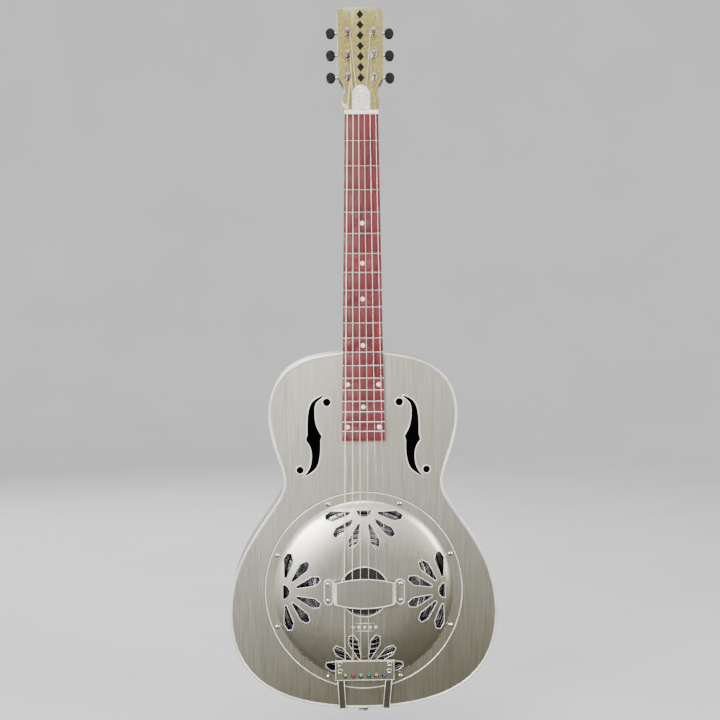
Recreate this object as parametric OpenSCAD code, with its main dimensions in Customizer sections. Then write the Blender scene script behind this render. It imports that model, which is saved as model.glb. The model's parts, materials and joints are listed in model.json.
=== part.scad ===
// Resonator guitar with a metal body, a spun cone under a pierced coverplate and open-gear tuners.
// The origin is the nut line on the neck's face. +Z runs up to the headstock, -Y is the playing side and
// +X is the treble side. Heights over the soundboard are written h, and point to -Y.

/* [Scale] */
// Open string length, nut to bridge
scale_length = 635; // [560:5:680]
// Extra length at the bridge that keeps fretted notes in tune
bridge_offset = 2; // [0:0.5:4]
// Number of frets
fret_count = 19; // [15:1:20]
// Fret at which the neck meets the body
join_fret = 12; // [12:1:13]

/* [Body] */
// Width of the lower bout
lower_bout_w = 360; // [310:5:430]
// Width of the upper bout
upper_bout_w = 253; // [225:1:300]
// Width of the waist
waist_w = 212; // [195:1:250]
// Neck joint down to the widest place of the upper bout
shoulder_drop = 83.5; // [70:0.5:100]
// Bridge up to the waist
waist_up = 145; // [135:1:155]
// Bridge down to the widest place of the lower bout
belly_drop = 31; // [20:1:45]
// Edge of the coverplate down to the tail
tail_margin = 27.3; // [22:0.1:40]
// Depth of the body
body_depth = 83; // [70:1:100]
// Thickness of the body's sheet metal
sheet_t = 1.2; // [0.8:0.1:1.6]
// Width of the raised bead round the soundboard
bead_w = 3.4; // [2.4:0.1:5]
// Height of the bead
bead_h = 0.8; // [0.4:0.1:0.9]

/* [Sound holes] */
// Bridge up to the middle of the f-holes
f_hole_up = 206; // [200:1:215]
// Centreline out to the middle of an f-hole
f_hole_out = 66; // [60:1:75]
// Radius of the upper eye
upper_eye_r = 5.8; // [4:0.1:6.4]
// Radius of the lower eye
lower_eye_r = 5.5; // [4:0.1:6.4]

/* [Coverplate and cone] */
// Outer radius of the coverplate
cover_r = 132.2; // [115:0.1:140]
// Width of the coverplate's flat flange
flange_w = 11.7; // [10:0.1:14]
// Thickness of the coverplate
cover_t = 1.2; // [0.8:0.1:1.6]
// Height of the step inside the flange
step_h = 4.5; // [3:0.1:6]
// Height of the flat crown
crown_h = 13; // [11:0.5:16]
// Radius of the flat crown
crown_r = 58; // [56:0.5:62]
// Radius of the hole over the bridge
bridge_hole_r = 33.2; // [32.5:0.1:36]
// Number of coverplate screws
cover_screws = 8; // [6:1:12]
// Petals in each fan
petals = 6; // [4:2:6]
// Angle between two petals
petal_step = 30; // [28:1:32]
// Inner edge of the flange in to a fan's centre
fan_in = 12; // [10.5:0.5:16]
// Inner end of a petal, from its fan's centre
petal_start = 18.5; // [16:0.5:24]
// Length of a petal's tip, past its widest place
petal_tip = 9; // [6.5:0.5:12]
// Metal left between the petals and the bridge cover's feet
petal_margin = 2.5; // [1:0.5:7]
// Greatest width of a petal
petal_w = 13.6; // [9:0.1:15]
// Depth of the well that the cone sits in
well_depth = 21; // [17:0.5:26]
// Thickness of the cone
cone_t = 0.8; // [0.6:0.1:1.2]
// Rings spun into the cone
cone_rings = 12; // [6:1:14]

/* [Bridge] */
// Radius of the wooden biscuit
biscuit_r = 31; // [28:0.5:32]
// Thickness of the biscuit
biscuit_t = 8; // [6:0.5:9]
// Thickness of the saddle
saddle_t = 3.2; // [2.4:0.1:4]
// String spacing at the bridge
bridge_spacing = 10.8; // [9.5:0.1:11]
// Height of the strings over the twelfth fret
action = 2.2; // [1.5:0.1:3]

/* [Bridge cover] */
// Width of its raised top
rest_w = 80; // [72:1:84]
// Length of its top on the centreline
rest_mid_l = 38.8; // [30:0.1:44]
// Length of its top at the two ends
rest_end_l = 27.3; // [22:0.1:30]
// Height from the coverplate's crown to its top
rest_rise = 16; // [14:0.5:22]
// Thickness of its metal
rest_t = 1.2; // [0.8:0.1:1.6]
// Width of a foot
foot_w = 11.5; // [9:0.5:13]
// Length of a foot
foot_l = 33.5; // [28:0.5:38]
// Spacing of a foot's two screws
foot_screws = 22; // [18:0.5:24]

/* [Tailpiece] */
// Width of the string plate
plate_w = 78; // [72:1:90]
// Length of the string plate
plate_l = 27; // [22:1:32]
// Bridge down to the plate's rolled edge
plate_down = 90.3; // [84:0.1:96]
// Thickness of the plate
plate_t = 1.2; // [0.8:0.1:1.6]
// Room for the strings between the coverplate and the plate
string_room = 6.6; // [5:0.1:9]
// Radius of the rolled edge
roll_r = 1.7; // [1.2:0.1:2]
// String spacing in the plate
tail_spacing = 10.4; // [9:0.1:11]
// Width of a strap
strap_w = 8.4; // [6:0.1:10]
// Thickness of a strap
strap_t = 1.5; // [1:0.1:2]
// Centreline out to a strap at the tail
strap_out = 29.3; // [25:0.1:34]

/* [Neck] */
// Width of the fingerboard at the nut
nut_w = 45; // [42:0.5:52]
// Width of the fingerboard at its last fret's end
board_end_w = 57; // [54:0.5:64]
// Wood past the last fret
board_tail = 12.2; // [6:0.1:16]
// Thickness of the fingerboard
board_t = 6; // [4.5:0.1:7]
// Thickness of the neck at the nut, without the fingerboard
neck_t_nut = 16; // [14:0.5:19]
// Thickness of the neck at the joint, without the fingerboard
neck_t_join = 19; // [16:0.5:23]
// Angle between the neck and the soundboard
neck_angle = 1.8; // [1.2:0.1:2.4]
// Height of the neck's face over the soundboard at the joint
neck_proud = 1; // [1:0.1:3]
// Length of the heel along the neck
heel_l = 70; // [50:5:90]
// Height of a fret's crown
fret_h = 1.1; // [0.8:0.1:1.4]
// Width of a fret's crown
fret_w = 2.4; // [2:0.1:2.8]
// Thickness of the nut along the strings
nut_t = 5.5; // [4:0.1:6.5]
// String spacing at the nut
nut_spacing = 7.56; // [6.8:0.02:7.8]
// Width of the neck's stick in the body
stick_w = 36; // [28:1:44]
// Depth of the stick
stick_d = 25; // [18:1:30]

/* [Headstock] */
// Angle that the headstock leans back from the neck
head_tilt = 14; // [8:1:17]
// Length of the headstock, without the nut
head_l = 149; // [140:1:160]
// Width of the headstock at its crown
head_w = 61.6; // [58:0.2:66]
// Thickness of the headstock's wood
head_t = 15; // [13:0.5:17]
// Thickness of the pearl overlay
overlay_t = 1.2; // [0.6:0.1:2]
// Width of the truss rod cover
rod_cover_w = 24.6; // [20:0.2:28]
// Length of the truss rod cover
rod_cover_l = 35; // [30:0.5:38]

/* [Tuners] */
// Nut edge to the first pair of posts
first_post = 47.3; // [44:0.1:50]
// Spacing of the posts along the headstock
post_step = 32.3; // [29:0.1:34]
// Centreline out to a post
post_out = 17.5; // [16.5:0.1:19]
// Radius of a post
post_r = 3; // [2.5:0.1:3.2]
// Length of a post in front of the overlay
post_l = 12; // [9:0.5:14]
// Teeth on a gear
gear_teeth = 14; // [12:1:16]
// Mean radius of a gear
gear_r = 4.1; // [3.8:0.1:4.3]
// Mean radius of a worm
worm_r = 2.2; // [2:0.1:2.3]
// Half the depth of a tooth
tooth_a = 0.32; // [0.2:0.02:0.36]
// Play between a worm and its gear
mesh_play = 0.2; // [0.15:0.05:0.3]
// Play between a turning shaft and its bearing
shaft_play = 0.05; // [0.03:0.01:0.08]
// Height of a button
button_h = 15.4; // [13:0.1:18]
// Width of a button along its shaft
button_w = 12.8; // [10:0.1:15]
// Thickness of a button
button_t = 6; // [4.5:0.1:8]
// Centreline out to a button's middle
button_out = 40; // [38.5:0.1:43]

/* [Hidden] */
$fn = 48;
sides = [-1, 1];
rows = [0, 1, 2];

nickel = [0.70, 0.69, 0.64];
polished = [0.82, 0.82, 0.80];
aluminium = [0.76, 0.77, 0.79];
dark_wood = [0.12, 0.09, 0.08];
maple = [0.78, 0.63, 0.42];
mahogany = [0.36, 0.17, 0.10];
padauk = [0.45, 0.12, 0.11];
pearl = [0.88, 0.84, 0.60];
bone = [0.93, 0.92, 0.86];
bronze = [0.80, 0.66, 0.42];
steel = [0.75, 0.75, 0.76];
gun_metal = [0.20, 0.20, 0.21];
brass = [0.79, 0.66, 0.35];

// Strings from the bass side to the treble side: diameters, and how many are wound
gauges = [1.35, 1.07, 0.81, 0.61, 0.41, 0.33];
wound_count = 4;
touch_gap = 0.05;
tight_gap = 0.02;
part_gap = 0.25;

// Frets follow equal temperament
function fret_at(n) = scale_length * (1 - pow(2, -n / 12));
board_l = fret_at(fret_count) + board_tail;
bridge_z = -(scale_length + bridge_offset);
join_l = fret_at(join_fret);
join_z = -join_l * cos(neck_angle);
top_y = neck_proud - join_l * sin(neck_angle);

// Soundboard outline: four curves from the neck joint down to the tail
upper_z = join_z - shoulder_drop;
waist_z = bridge_z + waist_up;
belly_z = bridge_z - belly_drop;
tail_z = bridge_z - cover_r - tail_margin;
outline_curves = [
    [[0, join_z], [0.60 * upper_bout_w / 2, join_z],
     [upper_bout_w / 2, upper_z + 0.79 * shoulder_drop], [upper_bout_w / 2, upper_z]],
    [[upper_bout_w / 2, upper_z], [upper_bout_w / 2, upper_z - 0.39 * (upper_z - waist_z)],
     [waist_w / 2, waist_z + 0.22 * (upper_z - waist_z)], [waist_w / 2, waist_z]],
    [[waist_w / 2, waist_z], [waist_w / 2, waist_z - 0.20 * (waist_z - belly_z)],
     [lower_bout_w / 2, belly_z + 0.54 * (waist_z - belly_z)], [lower_bout_w / 2, belly_z]],
    [[lower_bout_w / 2, belly_z], [lower_bout_w / 2, belly_z - 0.71 * (belly_z - tail_z)],
     [0.62 * lower_bout_w / 2, tail_z], [0, tail_z]]
];
curve_steps = 14;

function bezier(c, t) =
    pow(1 - t, 3) * c[0] + 3 * t * pow(1 - t, 2) * c[1] + 3 * t * t * (1 - t) * c[2] + pow(t, 3) * c[3];
function bezier_way(c, t) =
    pow(1 - t, 2) * (c[1] - c[0]) + 2 * t * (1 - t) * (c[2] - c[1]) + t * t * (c[3] - c[2]);
function inward(c, t) = let (way = bezier_way(c, t)) [way[1], -way[0]] / norm(way);
function set_in(c, t, inset) = bezier(c, t) + inset * inward(c, t);
function right_side(inset) = concat(
    [for (c = outline_curves, i = [0:curve_steps - 1]) set_in(c, i / curve_steps, inset)],
    [set_in(outline_curves[3], 1, inset)]
);
function mirrored(points) = [for (i = [len(points) - 1:-1:0]) [-points[i][0], points[i][1]]];
function body_outline(inset) = let (right = right_side(inset))
    concat(right, mirrored([for (i = [1:len(right) - 2]) right[i]]));
// Parameter of the tail curve at which it is x from the centreline
function tail_t(x, low = 0, high = 1, left = 20) = let (mid = (low + high) / 2)
    left == 0 ? mid
    : bezier(outline_curves[3], mid)[0] > x ? tail_t(x, mid, high, left - 1)
    : tail_t(x, low, mid, left - 1);
function tail_edge(x, out) = x == 0 ? [0, tail_z - out]
    : let (p = set_in(outline_curves[3], tail_t(abs(x)), -out)) [sign(x) * p[0], p[1]];

// A curve through chosen points
function spline_at(p, i, t) = let (
    a = p[max(i - 1, 0)], b = p[i], c = p[i + 1], d = p[min(i + 2, len(p) - 1)])
    0.5 * (2 * b + (c - a) * t + (2 * a - 5 * b + 4 * c - d) * t * t + (3 * b - a - 3 * c + d) * t * t * t);
function spline(p, steps) = concat(
    [for (i = [0:len(p) - 2], k = [0:steps - 1]) spline_at(p, i, k / steps)], [p[len(p) - 1]]);

// Coverplate heights
flange_in = cover_r - flange_w;
step_r = flange_in - 3.5;
dome_run = step_r - crown_r;
dome_drop = crown_h - step_h;
dome_radius = (dome_run * dome_run + dome_drop * dome_drop) / (2 * dome_drop);
function dome_h(r) = crown_h - dome_radius + sqrt(dome_radius * dome_radius - pow(max(r - crown_r, 0), 2));
lip_h = 3;
lip_w = 1.3;
fan_r = flange_in - fan_in;

// Cone and well
well_r = flange_in + 1;
well_t = 1;
ledge_w = 11;
cone_r = well_r - 1.5;
cone_rim_w = 4;
cone_apex_r = biscuit_r + 1.5;
cone_apex_h = crown_h - 11;
ring_h = 0.9;

// Strings over the frets, the nut and the saddle
nut_string_y = board_t + fret_h + 0.5;
join_string_y = board_t + fret_h + action;
string_slope = (join_string_y - nut_string_y) / join_l;
bridge_string_y = nut_string_y + string_slope * scale_length;
saddle_top = bridge_string_y * cos(neck_angle) - bridge_z * tan(neck_angle) + top_y;
biscuit_top = cone_apex_h + biscuit_t;
saddle_l = 5 * bridge_spacing + 6;
saddle_slot = 2;
string_x = [for (i = [0:5]) i - 2.5];

// Bridge cover
rest_top = crown_h + rest_rise;
rest_bevel = 3;
rest_flare = 2;
rest_foot_in = rest_w / 2 + rest_flare;
petal_end = fan_r - rest_foot_in - foot_w - petal_margin;
petal_shoulder = petal_end - petal_tip;

// Tailpiece
plate_under = dome_h(plate_down) + string_room;
plate_top = plate_under + plate_t;
roll_drop = 0.05;
ball_down = plate_down + 21.5;
ball_hole_r = 3.4;
ball_r = 1.9;
ball_bore_r = 0.8;
ball_t = 3;
rivet_r = 3.75;
rivet_h = 1.8;
rivet_rows = [5.5, 15.1];
strap_top_out = plate_w / 2 - strap_w / 2 - 1;
strap_lean = atan((strap_top_out - strap_out) / (cover_r + tail_margin - plate_down));
tail_plate_w = 2 * strap_out + strap_w;
tail_plate_h = [-body_depth * 0.65, -18];
tail_screw_h = -body_depth * 0.53;
tail_screw_out = 22;
tail_out = strap_t + part_gap;

// Fasteners: head radius, head height, shank radius and length
cover_screw = [3.1, 1.6, 1.4, 7];
rest_screw = [2.7, 1.4, 1.2, 6];
head_screw = [1.7, 0.9, 1.0, 7];
tail_screw = [3, 1.5, 1.5, 14];
biscuit_bolt = [4, 2, 1.9, 6];
rivet_pin_r = 1.6;
cover_screw_r = cover_r - 6.4;

// Neck and headstock
neck_r_nut = (nut_w * nut_w / 4 + neck_t_nut * neck_t_nut) / (2 * neck_t_nut);
function board_w_at(l) = nut_w + (board_end_w - nut_w) * l / board_l;
join_w = board_w_at(join_l);
neck_r_join = (join_w * join_w / 4 + neck_t_join * neck_t_join) / (2 * neck_t_join);
neck_axis_nut = neck_r_nut - neck_t_nut;
neck_axis_join = neck_r_join - neck_t_join;
neck_axis_tilt = atan((neck_axis_join - neck_axis_nut) / join_l);
stick_h = -28;
stick_in_heel = 15;
heel_cap_w = 30;
heel_back_h = -body_depth + 10;
tail_block_t = 18;
tail_block_w = 90;
stick_end_z = tail_z + sheet_t + tail_block_t;
post_radius = 9;
rod_r = 2.5;
rod_nut_r = 3.6;
rod_nut_z = [nut_t + 2.5, nut_t + 12.5];
rod_y = rod_nut_r + (rod_nut_z[1] - nut_t) * tan(head_tilt) - overlay_t + 0.6;
rod_room_r = 4.3;
rod_room_top = 30;
rod_l = join_l - 12;
rod_cover_t = 1.8;

// Headstock outline, right side, as half widths and distances from the nut
shoulder_half_w = head_w / 2 - 0.6;
head_corner = 2.5;
crown_rise = 3;
head_side = concat(
    [[nut_w / 2, 0]],
    spline([[nut_w / 2 + 2.6, 14.7], [nut_w / 2 + 0.3, 22], [nut_w / 2 - 0.4, 30], [nut_w / 2 + 2, 38],
            [shoulder_half_w - 0.8, 45.8]], 3),
    [[shoulder_half_w, 48.5], [head_w / 2, head_l - crown_rise - head_corner],
     [head_w / 2 - 0.3 * head_corner, head_l - crown_rise - 0.3 * head_corner],
     [head_w / 2 - head_corner, head_l - crown_rise + 0.3]],
    [for (k = [1:5]) let (x = (head_w / 2 - head_corner) * (1 - k / 5))
        [x, head_l - (crown_rise - 0.3) * pow(x / (head_w / 2 - head_corner), 2)]]
);
head_outline = concat(head_side, mirrored([for (i = [0:len(head_side) - 2]) head_side[i]]));

// Tuners
post_z = [for (row = rows) first_post + row * post_step];
tuner_plate_t = 1.2;
gear_t = 3.4;
gear_gap = 1;
gear_y = head_t + tuner_plate_t + gear_gap;
worm_y = gear_y + gear_t / 2;
worm_up = gear_r + worm_r + mesh_play;
worm_pitch = 2 * PI * gear_r / gear_teeth;
worm_turns = 4;
worm_l = worm_turns * worm_pitch;
worm_steps = 10;
shaft_r = 1.4;
lug_t = 1.5;
lug_in = post_out - worm_l / 2 - 1.2 - lug_t;
lug_out = post_out + 8.5;
lug_w = 6;
bushing_r = post_r + 1.2;
bushing_flange_r = bushing_r + 1.2;
bushing_flange_t = 1;
bushing_l = 8;
button_gap = 1.2;
string_post_y = overlay_t + 3.4;
string_post_gap = 0.15;

module slab(y, t) translate([0, y + t, 0]) rotate([90, 0, 0]) linear_extrude(t) children();
module facing(h0, h1) translate([0, top_y, 0]) slab(-h1, h1 - h0) children();
module turned() translate([0, top_y, bridge_z]) rotate([90, 0, 0]) rotate_extrude($fn = 96) children();
module on_neck() rotate([-neck_angle, 0, 0]) children();
module on_head() on_neck() translate([0, 0, nut_t]) rotate([-head_tilt, 0, 0]) children();
module at_bridge(x, z, h) translate([x, top_y - h, bridge_z + z]) rotate([90, 0, 0]) children();

// A screw along -Z with its head over Z = 0
module screw(s) {
    difference() {
        rotate_extrude() polygon([[0, 0], [s[0], 0], [s[0] * 0.86, s[1] * 0.6], [s[0] * 0.4, s[1]], [0, s[1]]]);
        for (turn = [0, 90]) {
            rotate(turn) translate([-s[0] * 0.55, -0.3, s[1] * 0.45]) cube([s[0] * 1.1, 0.6, s[1]]);
        }
    }
    translate([0, 0, -s[3]]) cylinder(h = s[3], r = s[2]);
}
module screw_hole(s) translate([0, 0, -s[3] - 1]) cylinder(h = s[3] + 2, r = s[2] + touch_gap);

module each_cover_screw() {
    for (i = [0:cover_screws - 1]) {
        turn = (i + 0.5) * 360 / cover_screws;
        at_bridge(cover_screw_r * sin(turn), cover_screw_r * cos(turn), cover_t) children();
    }
}
module each_rest_screw() {
    for (x = sides, z = sides) {
        at_bridge(x * (rest_foot_in + foot_w / 2 + 0.5), z * foot_screws / 2, crown_h + rest_t)
            children();
    }
}

// An f-hole of the right side, drawn about its own middle: outward is +X
module f_hole() {
    outer = spline([[-11, 55], [-3, 51], [3, 45], [6.6, 34], [8, 18], [8, 4]], 3);
    notch = [[9.9, -3]];
    outer_low = spline([[9.4, -4.4], [4.6, -12], [2.4, -22], [3, -34], [6, -43], [11.4, -51]], 3);
    inner = spline([[4, -46.5], [-1.8, -41.5], [-6, -32], [-8, -18], [-8, -4]], 3);
    inner_notch = [[-9.8, 1.6]];
    inner_high = spline([[-8.6, 3.2], [-3.2, 14], [-0.8, 26], [-0.6, 38], [-3, 46.5], [-11, 54]], 3);
    offset(delta = 1.3) polygon(concat(outer, notch, outer_low, inner, inner_notch, inner_high));
    translate([-17.4, 47]) circle(r = upper_eye_r);
    translate([18.7, -43.7]) circle(r = lower_eye_r);
}
module f_holes() {
    for (side = [0, 1]) {
        mirror([side, 0]) translate([f_hole_out, bridge_z + f_hole_up]) f_hole();
    }
}

module body_top() color(nickel) difference() {
    union() {
        facing(-sheet_t, 0) polygon(body_outline(0));
        facing(0, bead_h) difference() {
            polygon(body_outline(0));
            polygon(body_outline(bead_w));
        }
    }
    facing(-sheet_t - 1, 1) translate([0, bridge_z]) circle(r = well_r, $fn = 96);
    facing(-sheet_t - 1, 1) f_holes();
    each_cover_screw() screw_hole(cover_screw);
}
module body_sides() color(nickel) difference() {
    facing(-body_depth + sheet_t, -sheet_t) difference() {
        polygon(body_outline(0));
        polygon(body_outline(sheet_t));
    }
    neck_stick_shape(0);
    each_tail_screw() screw_hole(tail_screw);
}
module body_back() color(nickel) facing(-body_depth, -body_depth + sheet_t) polygon(body_outline(0));

module sound_well() color(nickel) turned() polygon([
    [well_r, -sheet_t], [well_r + well_t, -sheet_t], [well_r + well_t, -well_depth - well_t],
    [well_r - ledge_w, -well_depth - well_t], [well_r - ledge_w, -well_depth], [well_r, -well_depth]
]);

cone_slope_r = cone_r - cone_rim_w;
cone_rim_h = -well_depth + cone_t;
function cone_line(k) = let (share = k / (2 * cone_rings))
    [cone_apex_r + (cone_slope_r - cone_apex_r) * share,
     cone_apex_h + (cone_rim_h - cone_apex_h) * share + (k % 2) * ring_h];
cone_face = concat(
    [[biscuit_bolt[2] + touch_gap, cone_apex_h]], [for (k = [0:2 * cone_rings]) cone_line(k)],
    [[cone_r, cone_rim_h]]);
module resonator_cone() color(aluminium) turned() polygon(concat(
    cone_face, [for (i = [len(cone_face) - 1:-1:0]) cone_face[i] - [0, cone_t]]));

module biscuit() color(dark_wood) difference() {
    at_bridge(0, 0, cone_apex_h) cylinder(h = biscuit_t, r = biscuit_r, $fn = 96);
    facing(biscuit_top - saddle_slot, biscuit_top + 1) saddle_plan();
    at_bridge(0, 0, cone_apex_h) cylinder(h = 2 * biscuit_bolt[3], r = biscuit_bolt[2] + touch_gap, center = true);
}
module saddle_plan() translate([-saddle_l / 2, bridge_z - saddle_t / 2]) square([saddle_l, saddle_t]);
module saddle() color(maple)
    facing(biscuit_top - saddle_slot, saddle_top - touch_gap) saddle_plan();
module biscuit_screw() color(steel)
    at_bridge(0, 0, cone_apex_h - cone_t) mirror([0, 0, 1]) screw(biscuit_bolt);

// One petal, pointing along -Y from its fan's centre, and the half moon between the petals
module petal() {
    edge = [[1.6, -petal_start], [petal_w / 2, -petal_shoulder], [0.22 * petal_w, -petal_end]];
    offset(r = 0.7) offset(delta = -0.7) polygon(concat(edge, mirrored(edge)));
}
module half_moon() difference() {
    translate([0, 1.5]) circle(r = 10.4);
    translate([-11, 0.3]) square([22, 13]);
}
module fan() {
    for (i = [0:petals - 1]) {
        lean = i - (petals - 1) / 2;
        rotate(lean * petal_step + sign(lean) * 5) petal();
    }
    half_moon();
}
module coverplate() color(nickel) difference() {
    dome = [for (i = [0:8]) let (r = crown_r + i * dome_run / 8) [r, dome_h(r)]];
    turned() polygon(concat(
        [[bridge_hole_r, crown_h]], dome, [[flange_in, cover_t], [cover_r, cover_t], [cover_r, 0]],
        [[flange_in - 1, 0]], [for (i = [8:-1:0]) dome[i] - [0.6 * i / 8, cover_t]],
        [[bridge_hole_r + lip_w, crown_h - cover_t], [bridge_hole_r + lip_w, crown_h - lip_h],
         [bridge_hole_r, crown_h - lip_h]]));
    for (turn = [0:90:270]) {
        facing(-1, crown_h + 1) translate([0, bridge_z]) rotate(turn) translate([0, fan_r]) fan();
    }
    each_cover_screw() screw_hole(cover_screw);
    each_rest_screw() screw_hole(rest_screw);
}
module coverplate_screws() color(polished) each_cover_screw() screw(cover_screw);

module hand_rest_plan() translate([0, bridge_z]) {
    sag = (rest_mid_l - rest_end_l) / 2;
    radius = (pow(rest_w / 2, 2) + sag * sag) / (2 * sag);
    intersection() {
        square([2 * rest_foot_in, 2 * foot_l], center = true);
        translate([0, rest_mid_l / 2 - radius]) circle(r = radius, $fn = 180);
        translate([0, radius - rest_mid_l / 2]) circle(r = radius, $fn = 180);
    }
    for (side = sides) {
        translate([side * (rest_foot_in + foot_w / 2), 0]) {
            square([foot_w, foot_l - foot_w], center = true);
            for (end = sides) translate([0, end * (foot_l - foot_w) / 2]) circle(r = foot_w / 2);
        }
    }
}
function rest_line(t) = [
    [rest_foot_in + foot_w + 1, crown_h + t], [rest_foot_in + t - rest_t, crown_h + t],
    [rest_w / 2 + t - rest_t, rest_top - rest_bevel + t - rest_t],
    [rest_w / 2 - rest_bevel + (t - rest_t) * 0.4, rest_top + t - rest_t]];
module hand_rest() color(nickel) difference() {
    under = [for (p = rest_line(0)) [-p[0], p[1]]];
    intersection() {
        translate([0, top_y, bridge_z - foot_l]) linear_extrude(2 * foot_l) mirror([0, 1])
            polygon(concat(rest_line(rest_t), mirrored(rest_line(rest_t)), under, mirrored(under)));
        facing(crown_h - 1, rest_top + 1) hand_rest_plan();
    }
    each_rest_screw() screw_hole(rest_screw);
}
module hand_rest_screws() color(polished) each_rest_screw() screw(rest_screw);

module each_rivet() {
    for (side = sides, row = rivet_rows) {
        x = strap_top_out - row * tan(strap_lean);
        at_bridge(side * x, -plate_down - row, plate_top) children();
    }
}
module tailpiece_plate() color(nickel) difference() {
    union() {
        facing(plate_under, plate_top) translate([-plate_w / 2, bridge_z - plate_down - plate_l])
            square([plate_w, plate_l - roll_r]);
        at_bridge(-plate_w / 2, -plate_down - roll_r, plate_top - roll_drop - roll_r) rotate([0, 90, 0])
            cylinder(h = plate_w, r = roll_r);
    }
    for (i = string_x) {
        at_bridge(i * tail_spacing, -ball_down, plate_under) cylinder(h = 4 * plate_t, r = ball_hole_r, center = true);
    }
    each_rivet() translate([0, 0, -3 * plate_t]) cylinder(h = 4 * plate_t, r = rivet_pin_r + touch_gap);
}
strap_edge_z = tail_edge(strap_out - strap_w / 2, part_gap)[1];
strap_line = [[bridge_z - plate_down - 2 * roll_r - 0.4, plate_under], [bridge_z - plate_down - plate_l + 2, plate_under],
    [strap_edge_z + 4, bead_h + part_gap + strap_t], [strap_edge_z - strap_t * 0.4, bead_h + part_gap + strap_t * 0.5],
    [strap_edge_z - strap_t, bead_h - strap_t], [strap_edge_z - strap_t, tail_plate_h[1] - 4]];
strap_inner = [[strap_edge_z, tail_plate_h[1] - 4], [strap_edge_z, bead_h + part_gap],
    [strap_edge_z + 4, bead_h + part_gap], [bridge_z - plate_down - plate_l + 2.5, plate_under - strap_t],
    [bridge_z - plate_down - 2 * roll_r - 0.4, plate_under - strap_t]];
module strap() translate([strap_out, top_y, strap_edge_z]) rotate([0, strap_lean, 0]) translate([-strap_w / 2, 0, 0])
    rotate([90, 0, 90]) linear_extrude(strap_w)
    polygon([for (p = concat(strap_line, strap_inner)) [-p[1], p[0] - strap_edge_z]]);
module tailpiece_straps() color(nickel) difference() {
    union() {
        strap();
        mirror([1, 0, 0]) strap();
        facing(tail_plate_h[0], tail_plate_h[1]) polygon(concat(
            [for (i = [-6:6]) tail_edge(i * tail_plate_w / 12, part_gap)],
            [for (i = [6:-1:-6]) tail_edge(i * tail_plate_w / 12, tail_out)]));
    }
    each_rivet() translate([0, 0, -3 * strap_t]) cylinder(h = 4 * strap_t, r = rivet_pin_r + touch_gap);
    each_tail_screw() screw_hole(tail_screw);
}
module tailpiece_rivets() color(polished) each_rivet() {
    rotate_extrude() polygon([
        [0, -plate_t - strap_t - 0.6], [rivet_r * 0.6, -plate_t - strap_t - 0.6], [rivet_r * 0.6, -plate_t - strap_t],
        [rivet_pin_r, -plate_t - strap_t], [rivet_pin_r, 0], [rivet_r, 0], [rivet_r * 0.9, rivet_h * 0.6],
        [rivet_r * 0.65, rivet_h], [rivet_r * 0.4, rivet_h * 0.7], [rivet_r * 0.3, 0.4], [0, 0.4]]);
}
module at_tail(x, h) {
    edge = tail_edge(x, tail_out);
    inner = tail_edge(x, 0);
    translate([edge[0], top_y - h, edge[1]]) rotate([0, atan2(edge[0] - inner[0], edge[1] - inner[1]), 0]) children();
}
module each_tail_screw() {
    at_tail(0, tail_screw_h) children();
    for (side = sides) at_tail(side * tail_screw_out, tail_screw_h) children();
}
module tail_screws() color(polished) for (side = sides) at_tail(side * tail_screw_out, tail_screw_h) screw(tail_screw);
module strap_button() color(polished) at_tail(0, tail_screw_h) {
    rotate_extrude() polygon([[0, 0], [6, 0], [4.6, 1.2], [3.6, 3.5], [3.8, 7], [5.2, 8.6], [6.8, 9.4], [7, 10.6],
        [6, 11.8], [3, 12.3], [0, 12.3]]);
    translate([0, 0, -tail_screw[3]]) cylinder(h = tail_screw[3], r = tail_screw[2]);
}

module neck_stick_shape(grow) translate([-stick_w / 2, top_y - stick_h, stick_end_z])
    cube([stick_w, stick_d, join_z + stick_in_heel - stick_end_z + grow]);
module neck_shaft() on_neck() intersection() {
    translate([0, -neck_axis_nut, nut_t]) rotate([180 - neck_axis_tilt, 0, 0])
        cylinder(h = join_l + 20, r1 = neck_r_nut, r2 = neck_r_nut + (neck_r_join - neck_r_nut) * (join_l + 20) / join_l);
    translate([-60, 0, -join_l - 30]) cube([120, 60, join_l + 30 + nut_t]);
}
module heel() intersection() {
    // Section across the heel
    translate([0, 0, join_z]) linear_extrude(heel_l) polygon([for (side = sides, k = [0:2])
        let (i = side < 0 ? k : 2 - k, w = [join_w / 2 - 1, join_w / 2 - 3, heel_cap_w / 2][i])
        [side * w, top_y + [neck_t_join * 0.4, neck_t_join + 8, -heel_back_h][i]]]);
    // Side view
    translate([-join_w, 0, 0]) rotate([90, 0, 90]) linear_extrude(2 * join_w) polygon(concat(
        [[top_y, join_z]],
        [[top_y - heel_back_h, join_z], [top_y - heel_back_h, join_z + 12]],
        spline([[top_y - heel_back_h - 4, join_z + 17], [top_y + 45, join_z + 24], [top_y + 30, join_z + 36],
                [top_y + neck_t_join - 0.5, join_z + heel_l]], 3),
        [[top_y + 4, join_z + heel_l]]));
}
module each_tuner() {
    for (side = [0, 1], row = rows) {
        on_head() mirror([side, 0, 0]) translate([post_out, 0, post_z[row]]) children();
    }
}
module rod_room() on_neck() {
    translate([0, rod_y, -rod_l]) cylinder(h = rod_l + rod_nut_z[0] - 1, r = rod_r + touch_gap);
    translate([0, rod_y, rod_nut_z[0] - 1]) cylinder(h = rod_room_top - rod_nut_z[0], r = rod_room_r);
    translate([-rod_room_r, rod_y - 20, rod_nut_z[0] - 1]) cube([2 * rod_room_r, 20, rod_room_top - rod_nut_z[0]]);
}
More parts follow.
